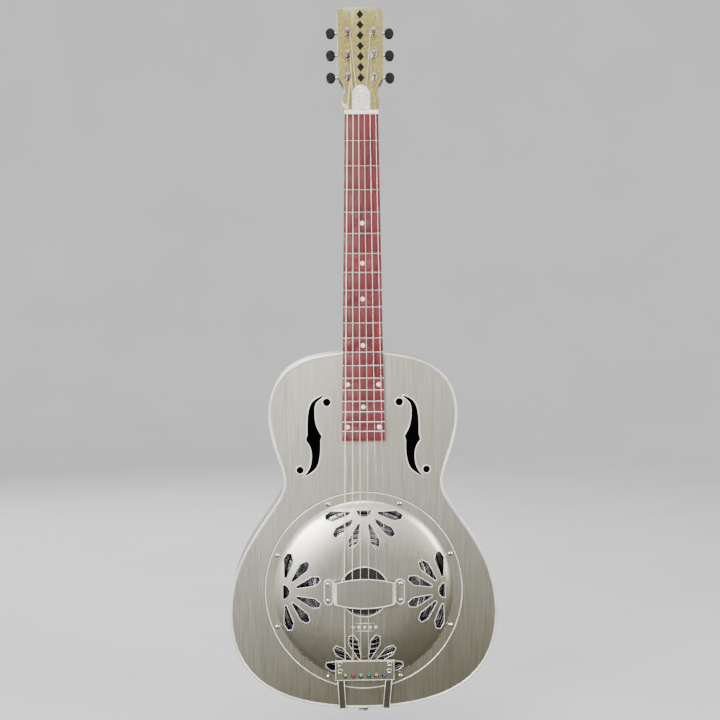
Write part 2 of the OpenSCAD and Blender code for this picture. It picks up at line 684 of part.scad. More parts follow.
module neck() color(mahogany) difference() {
    union() {
        neck_shaft();
        heel();
        on_head() slab(0, head_t) polygon(head_outline);
    }
    translate([-80, -60, join_z - 60]) cube([160, 200, 60]);
    neck_stick_shape(0);
    rod_room();
    each_tuner() rotate([90, 0, 0]) cylinder(h = 3 * head_t, r = bushing_r + tight_gap, center = true);
    each_plate_screw() screw_hole(head_screw);
    each_rod_cover_screw() screw_hole(head_screw);
}
module neck_stick() color(maple) neck_stick_shape(0);
module tail_block() color(maple) difference() {
    facing(-body_depth + sheet_t, -sheet_t) intersection() {
        polygon(body_outline(sheet_t));
        translate([-tail_block_w / 2, tail_z]) square([tail_block_w, stick_end_z - tail_z]);
    }
    each_tail_screw() screw_hole(tail_screw);
}
module stick_posts() color(maple) {
    for (z = [-60, 60]) {
        at_bridge(0, z, -body_depth + sheet_t) cylinder(h = body_depth - sheet_t + stick_h - stick_d, r = post_radius);
    }
}

board_plan = [[-nut_w / 2, 0], [nut_w / 2, 0], [board_end_w / 2, -board_l], [-board_end_w / 2, -board_l]];
wedge_gap = 4.5;
tang_w = 0.6;
tang_l = 1.8;
marker_r = 3;
marker_t = 0.5;
single_markers = [5, 7, 9, 12, 17];
double_markers = [15, 19];
function marker_z(n) = -(fret_at(n - 1) + fret_at(n)) / 2;
module each_marker() {
    for (n = single_markers) translate([0, -board_t, marker_z(n)]) rotate([90, 0, 0]) children();
    for (n = double_markers, side = sides) {
        translate([side * 0.75 * board_w_at(-marker_z(n)) / 2, -board_t, marker_z(n)]) rotate([90, 0, 0]) children();
    }
}
module fingerboard() color(padauk) on_neck() difference() {
    slab(-board_t, board_t) polygon(board_plan);
    for (n = [1:fret_count]) {
        translate([-board_end_w, -board_t - 1, -fret_at(n) - tang_w / 2]) cube([2 * board_end_w, tang_l + 1, tang_w]);
    }
    each_marker() cylinder(h = 2 * marker_t, r = marker_r + tight_gap, center = true);
}
module fingerboard_wedge() color(mahogany) intersection() {
    on_neck() slab(0, 20) polygon([for (p = board_plan) [p[0] * 0.94, p[1] + 3]]);
    translate([-board_end_w, top_y - 20, -board_l - 20])
        cube([2 * board_end_w, 20, board_l + 20 + join_z - bead_w - wedge_gap]);
}
module frets() color(polished) on_neck() {
    for (n = [1:fret_count]) {
        w = board_w_at(fret_at(n));
        translate([-w / 2, -board_t, -fret_at(n)]) rotate([90, 0, 90]) linear_extrude(w) polygon([
            [tang_l, -tang_w / 2], [tang_l, tang_w / 2], [0, tang_w / 2], [0, fret_w / 2], [-0.5 * fret_h, 0.42 * fret_w],
            [-0.86 * fret_h, 0.26 * fret_w], [-fret_h, 0], [-0.86 * fret_h, -0.26 * fret_w],
            [-0.5 * fret_h, -0.42 * fret_w], [0, -fret_w / 2], [0, -tang_w / 2]]);
    }
}
module fret_markers() color(bone) on_neck() each_marker()
    translate([0, 0, -marker_t]) cylinder(h = marker_t, r = marker_r);

module nut() color(bone) on_neck() difference() {
    rotate([90, 0, 90]) translate([0, 0, -nut_w / 2]) linear_extrude(nut_w) polygon([
        [0, 0], [-nut_string_y - 0.6, 0], [-nut_string_y - 0.9, 1.2], [-nut_string_y, nut_t], [0, nut_t]]);
    for (i = [0:5]) {
        translate([string_x[i] * nut_spacing - gauges[i] / 2 - 0.1, -nut_string_y - 3 + touch_gap, -1])
            cube([gauges[i] + 0.2, 3, nut_t + 2]);
    }
}
module headstock_overlay() color(pearl) difference() {
    on_head() slab(-overlay_t, overlay_t) intersection() {
        polygon(head_outline);
        translate([-head_w, 0.3]) square([2 * head_w, head_l]);
    }
    rod_room();
    each_tuner() rotate([90, 0, 0]) cylinder(h = 3 * head_t, r = bushing_r + tight_gap, center = true);
    each_rod_cover_screw() screw_hole(head_screw);
}
rod_cover_low = 0.6;
module each_rod_cover_screw() {
    for (p = [[0, rod_cover_l - 3.4], [-rod_cover_w / 2 + 3.2, 3.6], [rod_cover_w / 2 - 3.2, 3.6]]) {
        on_head() translate([p[0], -overlay_t - rod_cover_t, rod_cover_low + p[1]]) rotate([90, 0, 0]) children();
    }
}
module truss_rod_cover() color(bone) difference() {
    on_head() slab(-overlay_t - rod_cover_t, rod_cover_t) translate([0, rod_cover_low]) {
        arch = spline([[rod_cover_w / 2, 0], [rod_cover_w / 2 - 0.2, 0.5 * rod_cover_l],
            [rod_cover_w / 2 - 1.6, 0.76 * rod_cover_l], [rod_cover_w / 4, 0.94 * rod_cover_l], [0.4, rod_cover_l]], 3);
        polygon(concat(arch, mirrored(arch)));
    }
    each_rod_cover_screw() screw_hole(head_screw);
}
module headstock_screws() color(polished) {
    each_rod_cover_screw() screw(head_screw);
    each_plate_screw() screw(head_screw);
}
module truss_rod() color(steel) on_neck()
    translate([0, rod_y, -rod_l + 2]) cylinder(h = rod_l + rod_nut_z[1] - 5, r = rod_r);
module truss_rod_nut() color(brass) on_neck() translate([0, rod_y, rod_nut_z[0]]) difference() {
    cylinder(h = rod_nut_z[1] - rod_nut_z[0], r = rod_nut_r);
    translate([0, 0, -1]) cylinder(h = rod_nut_z[1] - rod_nut_z[0] - 1.5, r = rod_r + touch_gap);
    translate([0, 0, rod_nut_z[1] - rod_nut_z[0] - 3]) cylinder(h = 4, r = 2.4, $fn = 6);
}

// Routes of the strings: from the posts over the nut and saddle to the ball ends
function turn_x(v, a) = [v[0], v[1] * cos(a) - v[2] * sin(a), v[1] * sin(a) + v[2] * cos(a)];
function neck_point(v) = turn_x(v, -neck_angle);
function head_point(v) = neck_point([0, 0, nut_t] + turn_x(v, -head_tilt));
function string_row(i) = i < 3 ? i : 5 - i;
function string_route(i) = let (
    r = gauges[i] / 2,
    side = i < 3 ? -1 : 1,
    nut_x = string_x[i] * nut_spacing,
    bridge_x = string_x[i] * bridge_spacing,
    tail_x = string_x[i] * tail_spacing,
    nut_line = -nut_string_y - r,
    bridge_line = top_y - saddle_top - r,
    roll_bottom = plate_top - roll_drop - 2 * roll_r)
    [head_point([side * (post_out - post_r - r - string_post_gap), -string_post_y, post_z[string_row(i)]]),
     neck_point([nut_x, nut_line, nut_t]), neck_point([nut_x, nut_line, 0]),
     [bridge_x, bridge_line, bridge_z + saddle_t / 2], [bridge_x, bridge_line, bridge_z - saddle_t / 2],
     [tail_x, top_y - roll_bottom + r + 0.3, bridge_z - plate_down - roll_r],
     [tail_x, top_y - roll_bottom - 0.3, bridge_z - ball_down + ball_hole_r + 0.15]];
// A round tube of level rings through the route's points
tube_sides = 8;
module tube(route, r) {
    count = len(route);
    down = route[0][2] > route[count - 1][2];
    turn = 360 / tube_sides * (down ? -1 : 1);
    rings = [for (p = route, k = [0:tube_sides - 1]) p + r * [cos(k * turn), sin(k * turn), 0]];
    walls = [for (j = [0:count - 2], k = [0:tube_sides - 1]) let (a = j * tube_sides + k,
        b = j * tube_sides + (k + 1) % tube_sides) [a, a + tube_sides, b + tube_sides, b]];
    polyhedron(rings, concat(walls, [[for (k = [0:tube_sides - 1]) k],
        [for (k = [tube_sides - 1:-1:0]) (count - 1) * tube_sides + k]]));
}
module wound_strings() color(bronze) for (i = [0:wound_count - 1]) tube(string_route(i), gauges[i] / 2);
module plain_strings() color(steel) for (i = [wound_count:5]) tube(string_route(i), gauges[i] / 2);
module string_ball_ends() color(brass) for (i = string_x) {
    at_bridge(i * tail_spacing, -ball_down + ball_hole_r - ball_r - touch_gap, plate_under - ball_t + 0.6) difference() {
        cylinder(h = ball_t, r = ball_r);
        translate([0, 0, -1]) cylinder(h = ball_t + 2, r = ball_bore_r);
    }
}

// Tuners: X points out to the button, Z up the headstock, and the post's axis is at zero
plate_low = -6.5;
plate_high = worm_up + 7;
plate_in = lug_in - post_out - 1;
plate_side = lug_out + lug_t - post_out + 0.6;
module each_plate_screw() each_tuner() {
    for (p = [[plate_in + 2.6, plate_low + 2.2], [1.5, plate_high - 2.2]]) {
        translate([p[0], head_t + tuner_plate_t, p[1]]) rotate([-90, 0, 0]) children();
    }
}
module lug(x) translate([x, head_t + tuner_plate_t, worm_up - lug_w / 2])
    cube([lug_t, worm_y - head_t - tuner_plate_t + 2.8, lug_w]);
module tuner_plates() color(polished) {
    difference() {
        each_tuner() {
            slab(head_t, tuner_plate_t) translate([plate_in, plate_low])
                square([plate_side - plate_in, plate_high - plate_low]);
            lug(lug_in - post_out);
            lug(lug_out - post_out);
        }
        each_tuner() {
            rotate([-90, 0, 0]) cylinder(h = 3 * head_t, r = post_r + shaft_play);
            translate([plate_in - 5, worm_y, worm_up]) rotate([0, 90, 0]) cylinder(h = 40, r = shaft_r + shaft_play);
        }
        each_plate_screw() screw_hole(head_screw);
    }
}
module tuner_bushings() color(polished) each_tuner() rotate([90, 0, 0]) translate([0, 0, overlay_t]) difference() {
    union() {
        cylinder(h = bushing_flange_t, r = bushing_flange_r);
        translate([0, 0, -bushing_l]) cylinder(h = bushing_l + 0.1, r = bushing_r);
    }
    translate([0, 0, -bushing_l - 1]) cylinder(h = bushing_l + 3, r = post_r + shaft_play);
}
// Tuners 1 to 3 are on the bass side and 4 to 6 on the treble side, each from the nut up
module at_tuner(i) on_head() mirror([i < 4 ? 1 : 0, 0, 0]) translate([post_out, 0, post_z[(i - 1) % 3]]) children();
module tuner_post(i) color(polished) at_tuner(i) difference() {
    rotate([90, 0, 0]) rotate_extrude() polygon([
        [0, -gear_y], [post_r, -gear_y], [post_r, string_post_y - 1.8], [post_r - 0.5, string_post_y - 1.2],
        [post_r - 0.5, string_post_y + 3], [post_r, string_post_y + 4], [post_r, overlay_t + post_l - 1.2],
        [post_r * 0.7, overlay_t + post_l], [0, overlay_t + post_l]]);
    translate([-10, -string_post_y - 1.5, 0]) rotate([0, 90, 0]) cylinder(h = 20, r = 0.9);
    translate([0, gear_y + 1, 0]) rotate([90, 0, 0]) cylinder(h = 6, r = 1 + touch_gap);
}
module tuner_gear(i) color(brass) at_tuner(i) {
    difference() {
        slab(gear_y, gear_t) polygon([for (a = [0:360 / (gear_teeth * 8):359.9])
            (gear_r + tooth_a * cos(gear_teeth * a)) * [sin(a), cos(a)]]);
        translate([0, gear_y - 1, 0]) rotate([-90, 0, 0]) cylinder(h = gear_t + 2, r = 1 + touch_gap);
    }
    translate([0, gear_y + gear_t, 0]) rotate([-90, 0, 0]) screw([2.2, 1.2, 1, gear_t + 4]);
}
module tuner_worm(i) color(polished) at_tuner(i) translate([0, worm_y, worm_up]) rotate([0, 90, 0]) {
    tube([for (k = [0:worm_steps * worm_turns]) let (turn = 180 - k * 360 / worm_steps)
        [tooth_a * cos(turn), tooth_a * sin(turn), worm_l * (k / (worm_steps * worm_turns) - 0.5)]], worm_r);
    shaft_in = plate_in + 0.2;
    translate([0, 0, shaft_in]) cylinder(h = -worm_l / 2 - shaft_in, r = shaft_r);
    translate([0, 0, worm_l / 2]) cylinder(h = button_out - post_out - worm_l / 2, r = shaft_r);
    translate([0, 0, button_collar]) cylinder(h = button_foot - button_collar, r = 2.1);
}
button_foot = button_out - post_out - button_w / 2;
button_collar = head_w / 2 + button_gap - post_out;
function oval(share) = [for (a = [0:15:345]) [share * button_w / 2 * cos(a), share * button_h / 2 * sin(a)]];
module tuner_button(i) color(gun_metal) at_tuner(i) difference() {
    translate([button_out - post_out, worm_y, worm_up]) {
        slab(-0.3 * button_t, 0.6 * button_t) polygon(oval(1));
        slab(-0.5 * button_t, button_t) polygon(oval(0.84));
    }
    translate([button_foot - 1, worm_y, worm_up]) rotate([0, 90, 0])
        cylinder(h = button_w / 2 + 1 + touch_gap, r = shaft_r + touch_gap);
}

body_top();
body_sides();
body_back();
sound_well();
resonator_cone();
biscuit();
saddle();
biscuit_screw();
coverplate();
coverplate_screws();
hand_rest();
hand_rest_screws();
tailpiece_plate();
tailpiece_straps();
tailpiece_rivets();
tail_screws();
strap_button();
neck();
neck_stick();
tail_block();
stick_posts();
fingerboard();
fingerboard_wedge();
frets();
fret_markers();
nut();
headstock_overlay();
truss_rod_cover();
headstock_screws();
truss_rod();
truss_rod_nut();
wound_strings();
plain_strings();
string_ball_ends();
tuner_plates();
tuner_bushings();
for (i = [1:6]) {
    tuner_post(i);
    tuner_gear(i);
    tuner_worm(i);
    tuner_button(i);
}
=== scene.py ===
import json
import math

import bmesh
import bpy
from mathutils import Matrix, Vector

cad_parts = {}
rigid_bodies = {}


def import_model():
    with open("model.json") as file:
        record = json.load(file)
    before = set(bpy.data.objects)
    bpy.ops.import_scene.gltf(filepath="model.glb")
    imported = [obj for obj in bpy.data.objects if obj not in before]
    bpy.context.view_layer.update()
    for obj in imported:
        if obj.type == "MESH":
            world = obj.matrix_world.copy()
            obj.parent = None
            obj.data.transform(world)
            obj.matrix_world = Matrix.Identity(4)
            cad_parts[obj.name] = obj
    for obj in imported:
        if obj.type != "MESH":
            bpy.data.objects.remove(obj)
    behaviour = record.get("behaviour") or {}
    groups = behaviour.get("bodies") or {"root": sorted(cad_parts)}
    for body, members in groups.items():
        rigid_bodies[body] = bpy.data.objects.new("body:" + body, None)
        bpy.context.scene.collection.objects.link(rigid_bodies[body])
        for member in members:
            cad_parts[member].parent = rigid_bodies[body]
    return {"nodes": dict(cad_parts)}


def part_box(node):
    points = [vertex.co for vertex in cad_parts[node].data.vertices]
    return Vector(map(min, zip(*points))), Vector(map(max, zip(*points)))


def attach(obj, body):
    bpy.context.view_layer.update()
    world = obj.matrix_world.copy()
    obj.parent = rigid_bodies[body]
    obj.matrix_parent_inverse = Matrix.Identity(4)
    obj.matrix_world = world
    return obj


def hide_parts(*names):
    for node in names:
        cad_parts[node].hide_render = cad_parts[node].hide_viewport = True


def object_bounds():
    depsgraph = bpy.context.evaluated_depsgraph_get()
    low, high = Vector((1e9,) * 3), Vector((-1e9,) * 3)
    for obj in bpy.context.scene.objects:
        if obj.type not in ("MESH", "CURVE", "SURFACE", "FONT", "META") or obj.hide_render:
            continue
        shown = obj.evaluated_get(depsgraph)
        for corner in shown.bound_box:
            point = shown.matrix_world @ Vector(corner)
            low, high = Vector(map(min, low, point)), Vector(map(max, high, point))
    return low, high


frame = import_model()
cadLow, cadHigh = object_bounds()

mm = 0.001
mergeWithin = 0.004 * mm


def middleOf(nodeName):
    low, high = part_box(nodeName)
    return (low + high) / 2


bridgeAt = middleOf("coverplate")  # the cone and the coverplate are centred on the bridge


# picking, copying and finishing

def pickOnly(*pieces):
    for other in list(bpy.context.selected_objects):
        other.select_set(False)
    for piece in pieces:
        piece.select_set(True)
    bpy.context.view_layer.objects.active = pieces[0]


def paint(piece, *finishes):
    piece.data.materials.clear()
    for finish in finishes:
        piece.data.materials.append(finish)


def copyNode(nodeName, pieceName, flatAngle=0.3):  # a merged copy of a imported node, to work on
    piece = bpy.data.objects.new(pieceName, frame["nodes"][nodeName].data.copy())
    bpy.context.collection.objects.link(piece)
    pickOnly(piece)
    bpy.ops.object.mode_set(mode="EDIT")
    bpy.ops.mesh.select_all(action="SELECT")
    bpy.ops.mesh.remove_doubles(threshold=mergeWithin)
    bpy.ops.mesh.dissolve_limited(angle_limit=math.radians(flatAngle))
    bpy.ops.object.mode_set(mode="OBJECT")
    bpy.ops.mesh.customdata_custom_splitnormals_clear()
    return piece


def roundEdges(piece, width, segments=2, angle=35, edgeSlot=-1):  # edgeSlot is the finish that the rounding takes
    pickOnly(piece)
    bevel = piece.modifiers.new("roundEdges", "BEVEL")
    bevel.material = edgeSlot
    bevel.width = width
    bevel.segments = segments
    bevel.limit_method = "ANGLE"
    bevel.angle_limit = math.radians(angle)
    bpy.ops.object.modifier_apply(modifier=bevel.name)
    bpy.ops.object.shade_smooth_by_angle(angle=math.radians(angle))


def pickEdges(piece, wanted):  # leaves edit mode on, with the wanted edges selected
    pickOnly(piece)
    bpy.ops.object.mode_set(mode="EDIT")
    bpy.ops.mesh.select_mode(type="EDGE")
    bpy.ops.mesh.select_all(action="DESELECT")
    shape = bmesh.from_edit_mesh(piece.data)
    found = 0
    for edge in shape.edges:
        if wanted(edge):
            edge.select_set(True)
            found += 1
    bmesh.update_edit_mesh(piece.data)
    return found


def paintFaces(piece, slotIndex, wanted):
    pickOnly(piece)
    bpy.ops.object.mode_set(mode="EDIT")
    bpy.ops.mesh.select_mode(type="FACE")
    bpy.ops.mesh.select_all(action="DESELECT")
    shape = bmesh.from_edit_mesh(piece.data)
    for face in shape.faces:
        face.select_set(bool(wanted(face)))
    bmesh.update_edit_mesh(piece.data)
    piece.active_material_index = slotIndex
    bpy.ops.object.material_slot_assign()
    bpy.ops.object.mode_set(mode="OBJECT")


def rollRim(piece, pieceName, wanted, radius):  # a round border along the wanted edges
    before = set(bpy.data.objects)
    found = pickEdges(piece, wanted)
    print("   ", pieceName, "follows", found, "edges")
    bpy.ops.mesh.duplicate()
    bpy.ops.mesh.separate(type="SELECTED")
    bpy.ops.object.mode_set(mode="OBJECT")
    rim = [o for o in bpy.data.objects if o not in before][0]
    rim.name = pieceName
    pickOnly(rim)
    bpy.ops.object.convert(target="CURVE")
    rim.data.bevel_depth = radius
    rim.data.bevel_resolution = 2
    rim.data.use_fill_caps = True
    bpy.ops.object.convert(target="MESH")
    bpy.ops.object.mode_set(mode="EDIT")
    bpy.ops.mesh.select_all(action="SELECT")
    bpy.ops.mesh.remove_doubles(threshold=mergeWithin)
    bpy.ops.mesh.normals_make_consistent(inside=False)
    bpy.ops.object.mode_set(mode="OBJECT")
    bpy.ops.object.shade_smooth()
    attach(rim, "guitar")
    return rim


def place(piece, matrix):  # puts a finished piece where it goes, with its place in its mesh
    piece.data.transform(matrix)
    piece.data.update()


def facesOf(edge):
    return [face.normal for face in edge.link_faces]


# finishes

def newFinish(name):
    finish = bpy.data.materials.new(name)
    finish.use_nodes = True
    tree = finish.node_tree
    return finish, tree, tree.nodes["Principled BSDF"]


def patternAt(tree, scale, centre=(0, 0, 0)):
    coords = tree.nodes.new("ShaderNodeTexCoord")
    mapping = tree.nodes.new("ShaderNodeMapping")
    mapping.inputs["Scale"].default_value = scale
    mapping.inputs["Location"].default_value = centre
    tree.links.new(coords.outputs["Object"], mapping.inputs["Vector"])
    return mapping.outputs["Vector"]


def noiseFrom(tree, vector, scale=1.0, detail=4.0, rough=0.6, distortion=0.0):
    noise = tree.nodes.new("ShaderNodeTexNoise")
    noise.inputs["Scale"].default_value = scale
    noise.inputs["Detail"].default_value = detail
    noise.inputs["Roughness"].default_value = rough
    noise.inputs["Distortion"].default_value = distortion
    tree.links.new(vector, noise.inputs["Vector"])
    return noise.outputs["Fac"]


def rampFrom(tree, value, *stops, sharp=False):
    ramp = tree.nodes.new("ShaderNodeValToRGB")
    tree.links.new(value, ramp.inputs["Fac"])
    bar = ramp.color_ramp
    if sharp:
        bar.interpolation = "CONSTANT"
    while len(bar.elements) < len(stops):
        bar.elements.new(0.5)
    for element, (place01, colour) in zip(bar.elements, stops):
        element.position = place01
        element.color = (*colour, 1)
    return ramp.outputs["Color"]


def rangeFrom(tree, value, low, high, fromLow=0.0, fromHigh=1.0):
    spread = tree.nodes.new("ShaderNodeMapRange")
    tree.links.new(value, spread.inputs["Value"])
    spread.inputs["From Min"].default_value = fromLow
    spread.inputs["From Max"].default_value = fromHigh
    spread.inputs["To Min"].default_value = low
    spread.inputs["To Max"].default_value = high
    return spread.outputs["Result"]


def blendColours(tree, share, first, second, mode="MIX"):
    mix = tree.nodes.new("ShaderNodeMix")
    mix.data_type = "RGBA"
    mix.blend_type = mode
    for socket, kind, value in (("Factor", "VALUE", share), ("A", "RGBA", first), ("B", "RGBA", second)):
        target = [s for s in mix.inputs if s.name == socket and s.type == kind][0]
        if isinstance(value, (int, float)):
            target.default_value = value
        elif isinstance(value, tuple):
            target.default_value = (*value, 1)
        else:
            tree.links.new(value, target)
    return [s for s in mix.outputs if s.type == "RGBA"][0]


def bumpInto(tree, shader, height, strength, depth):
    bump = tree.nodes.new("ShaderNodeBump")
    bump.inputs["Strength"].default_value = strength
    bump.inputs["Distance"].default_value = depth
    tree.links.new(height, bump.inputs["Height"])
    tree.links.new(bump.outputs["Normal"], shader.inputs["Normal"])


# two of these tones are painted light and shade: a pale tone towards the neck and a dark tone towards the tail
nickelLook = {
    "light": (0.84, 0.825, 0.73),
    "dark": (0.60, 0.59, 0.505),
    "paintedLitTone": (0.97, 0.94, 0.865),
    "paintedShadeTone": (0.27, 0.262, 0.185),
    "streaks": (1700, 1700, 20),  # fine brushing, up and down
    "bands": (600, 600, 6),
    "paintedShadeFrom": (0.53, 0.78),  # metres below the nut where the painted shade starts and is full
    "paintedShadeAcross": 0.22,
    "roughLow": 0.26,
    "roughHigh": 0.40,
}


def brushedNickel(name, look):
    finish, tree, shader = newFinish(name)
    fine = noiseFrom(tree, patternAt(tree, look["streaks"]), 1, 3, 0.6)
    bands = noiseFrom(tree, patternAt(tree, look["bands"]), 1, 5, 0.7)
    clouds = noiseFrom(tree, patternAt(tree, (11, 11, 5)), 1, 4, 0.55)
    base = rampFrom(tree, bands, (0.3, look["dark"]), (0.7, look["light"]))
    side = tree.nodes.new("ShaderNodeSeparateXYZ")
    tree.links.new(patternAt(tree, (1, 1, 1)), side.inputs["Vector"])
    lean = tree.nodes.new("ShaderNodeMath")
    lean.operation = "MULTIPLY"
    tree.links.new(side.outputs["X"], lean.inputs[0])
    lean.inputs[1].default_value = look["paintedShadeAcross"]
    slant = tree.nodes.new("ShaderNodeMath")  # painted shade: darker towards the tail, a little more on the treble side
    slant.operation = "MULTIPLY_ADD"
    tree.links.new(side.outputs["Z"], slant.inputs[0])
    slant.inputs[1].default_value = -1
    tree.links.new(lean.outputs["Value"], slant.inputs[2])
    # painted light and shade: a pale tone near the neck turning to a dark tone near the tail, for light falling from
    # above
    paintedShadeShare = rangeFrom(tree, slant.outputs["Value"], 0, 1, *look["paintedShadeFrom"])
    paintedLightShade = blendColours(tree, paintedShadeShare, look["paintedLitTone"], look["paintedShadeTone"])
    tone = blendColours(tree, 0.62, base, paintedLightShade)
    cloudy = rampFrom(tree, clouds, (0.32, (0.80, 0.79, 0.76)), (0.68, (1.0, 1.0, 1.0)))
    tone = blendColours(tree, 0.55, tone, cloudy, "MULTIPLY")
    scratch = rampFrom(tree, fine, (0.25, (0.70, 0.69, 0.67)), (0.6, (1.0, 1.0, 1.0)))
    tone = blendColours(tree, 0.5, tone, scratch, "MULTIPLY")
    tree.links.new(tone, shader.inputs["Base Color"])
    tree.links.new(rangeFrom(tree, fine, look["roughLow"], look["roughHigh"], 0.25, 0.75), shader.inputs["Roughness"])
    shader.inputs["Metallic"].default_value = 1
    bumpInto(tree, shader, fine, 0.10, 0.0004)
    return finish


def wornBright(name, colour, rough, wear=0.10, metal=1.0):  # polished metal, rubbed a little unevenly
    finish, tree, shader = newFinish(name)
    rub = noiseFrom(tree, patternAt(tree, (60, 60, 40)), 1, 4, 0.5)
    dim = tuple(c * 0.82 for c in colour)
    tree.links.new(rampFrom(tree, rub, (0.3, dim), (0.62, colour)), shader.inputs["Base Color"])
    tree.links.new(rangeFrom(tree, rub, rough, rough + wear, 0.3, 0.7), shader.inputs["Roughness"])
    shader.inputs["Metallic"].default_value = metal
    bumpInto(tree, shader, rub, 0.05, 0.0003)
    return finish


def spunAluminium(name):
    finish, tree, shader = newFinish(name)
    middle = patternAt(tree, (1, 1, 1), centre=(0, 0, -bridgeAt.z))
    ring = tree.nodes.new("ShaderNodeVectorMath")
    ring.operation = "MULTIPLY"
    ring.inputs[1].default_value = (1, 0, 1)
    tree.links.new(middle, ring.inputs[0])
    far = tree.nodes.new("ShaderNodeVectorMath")
    far.operation = "LENGTH"
    tree.links.new(ring.outputs["Vector"], far.inputs[0])
    wave = tree.nodes.new("ShaderNodeMath")
    wave.operation = "MULTIPLY"
    wave.inputs[1].default_value = 1900
    tree.links.new(far.outputs["Value"], wave.inputs[0])
    groove = tree.nodes.new("ShaderNodeMath")
    groove.operation = "SINE"
    tree.links.new(wave.outputs["Value"], groove.inputs[0])
    creasesAndShade = noiseFrom(tree, patternAt(tree, (46, 46, 46)), 1, 3, 0.5, 1.2)
    # the crease valleys take the dark colour: painted shade in the creases
    tone = rampFrom(tree, creasesAndShade, (0.36, (0.16, 0.15, 0.18)), (0.5, (0.55, 0.54, 0.60)), (0.64, (0.95, 0.94, 0.98)))
    tree.links.new(tone, shader.inputs["Base Color"])
    height = tree.nodes.new("ShaderNodeMath")
    height.operation = "MULTIPLY_ADD"
    tree.links.new(creasesAndShade, height.inputs[0])
    height.inputs[1].default_value = 3.0
    tree.links.new(groove.outputs["Value"], height.inputs[2])
    bumpInto(tree, shader, height.outputs["Value"], 0.35, 0.0006)
    tree.links.new(rangeFrom(tree, creasesAndShade, 0.14, 0.34, 0.3, 0.7), shader.inputs["Roughness"])
    shader.inputs["Metallic"].default_value = 1
    return finish


def plainWood(name, dark, mid, light, grain, rough=0.42, coat=0.25, pores=0.25):
    finish, tree, shader = newFinish(name)
    along = patternAt(tree, grain)
    fibre = noiseFrom(tree, along, 1, 6, 0.62, 0.4)
    broad = noiseFrom(tree, patternAt(tree, tuple(g * 0.16 for g in grain)), 1, 3, 0.5, 1.2)
    woodTone = rampFrom(tree, fibre, (0.28, dark), (0.52, mid), (0.75, light))
    shade = rampFrom(tree, broad, (0.3, (0.62, 0.60, 0.60)), (0.65, (1.0, 1.0, 1.0)))
    tree.links.new(blendColours(tree, 0.8, woodTone, shade, "MULTIPLY"), shader.inputs["Base Color"])
    tree.links.new(rangeFrom(tree, fibre, rough + 0.12, rough - 0.08, 0.3, 0.7), shader.inputs["Roughness"])
    shader.inputs["Coat Weight"].default_value = coat
    shader.inputs["Coat Roughness"].default_value = 0.22
    bumpInto(tree, shader, fibre, pores, 0.0003)
    return finish


def pearlSheet(name, low, mid, high, size, rough=0.22):
    finish, tree, shader = newFinish(name)
    flakes = tree.nodes.new("ShaderNodeTexVoronoi")
    flakes.inputs["Scale"].default_value = 1
    flakes.inputs["Randomness"].default_value = 1
    tree.links.new(patternAt(tree, (size, size, size * 0.7)), flakes.inputs["Vector"])
    cloud = noiseFrom(tree, patternAt(tree, (size * 0.9, size * 0.9, size * 0.6)), 1, 5, 0.65, 2.0)
    both = tree.nodes.new("ShaderNodeMath")
    both.operation = "MULTIPLY_ADD"
    tree.links.new(flakes.outputs["Distance"], both.inputs[0])
    both.inputs[1].default_value = 0.35
    tree.links.new(cloud, both.inputs[2])
    tone = rampFrom(tree, both.outputs["Value"], (0.38, low), (0.62, mid), (0.85, high))
    tree.links.new(tone, shader.inputs["Base Color"])
    tree.links.new(rangeFrom(tree, cloud, rough, rough + 0.18, 0.3, 0.7), shader.inputs["Roughness"])
    shader.inputs["Metallic"].default_value = 0.18
    shader.inputs["Coat Weight"].default_value = 0.6
    shader.inputs["Coat Roughness"].default_value = 0.12
    bumpInto(tree, shader, cloud, 0.04, 0.0003)
    return finish


def smoothPlastic(name, low, high, rough, coat, size=140, shine=0.5):
    finish, tree, shader = newFinish(name)
    cloud = noiseFrom(tree, patternAt(tree, (size, size, size)), 1, 5, 0.6, 0.8)
    tree.links.new(rampFrom(tree, cloud, (0.32, low), (0.7, high)), shader.inputs["Base Color"])
    tree.links.new(rangeFrom(tree, cloud, rough, rough + 0.12, 0.3, 0.7), shader.inputs["Roughness"])
    shader.inputs["Specular IOR Level"].default_value = shine
    shader.inputs["Coat Weight"].default_value = coat
    shader.inputs["Coat Roughness"].default_value = 0.1
    bumpInto(tree, shader, cloud, 0.03, 0.0003)
    return finish


def windingWire(name, colour, gapShade, pitch):  # fine wire wound round a core that runs up and down, with painted shade in the gaps between turns
    finish, tree, shader = newFinish(name)
    wave = tree.nodes.new("ShaderNodeTexWave")
    wave.bands_direction = "Z"
    wave.inputs["Scale"].default_value = math.tau / 40 / pitch  # one band to each turn of the wire
    wave.inputs["Distortion"].default_value = 0.2
    tree.links.new(patternAt(tree, (1, 1, 1)), wave.inputs["Vector"])
    tree.links.new(rampFrom(tree, wave.outputs["Fac"], (0.1, gapShade), (0.55, colour)), shader.inputs["Base Color"])
    rub = noiseFrom(tree, patternAt(tree, (300, 300, 30)), 1, 3, 0.5)
    tree.links.new(rangeFrom(tree, rub, 0.30, 0.46, 0.3, 0.7), shader.inputs["Roughness"])
    shader.inputs["Metallic"].default_value = 0.55
    bumpInto(tree, shader, wave.outputs["Fac"], 0.25, 0.0002)
    return finish


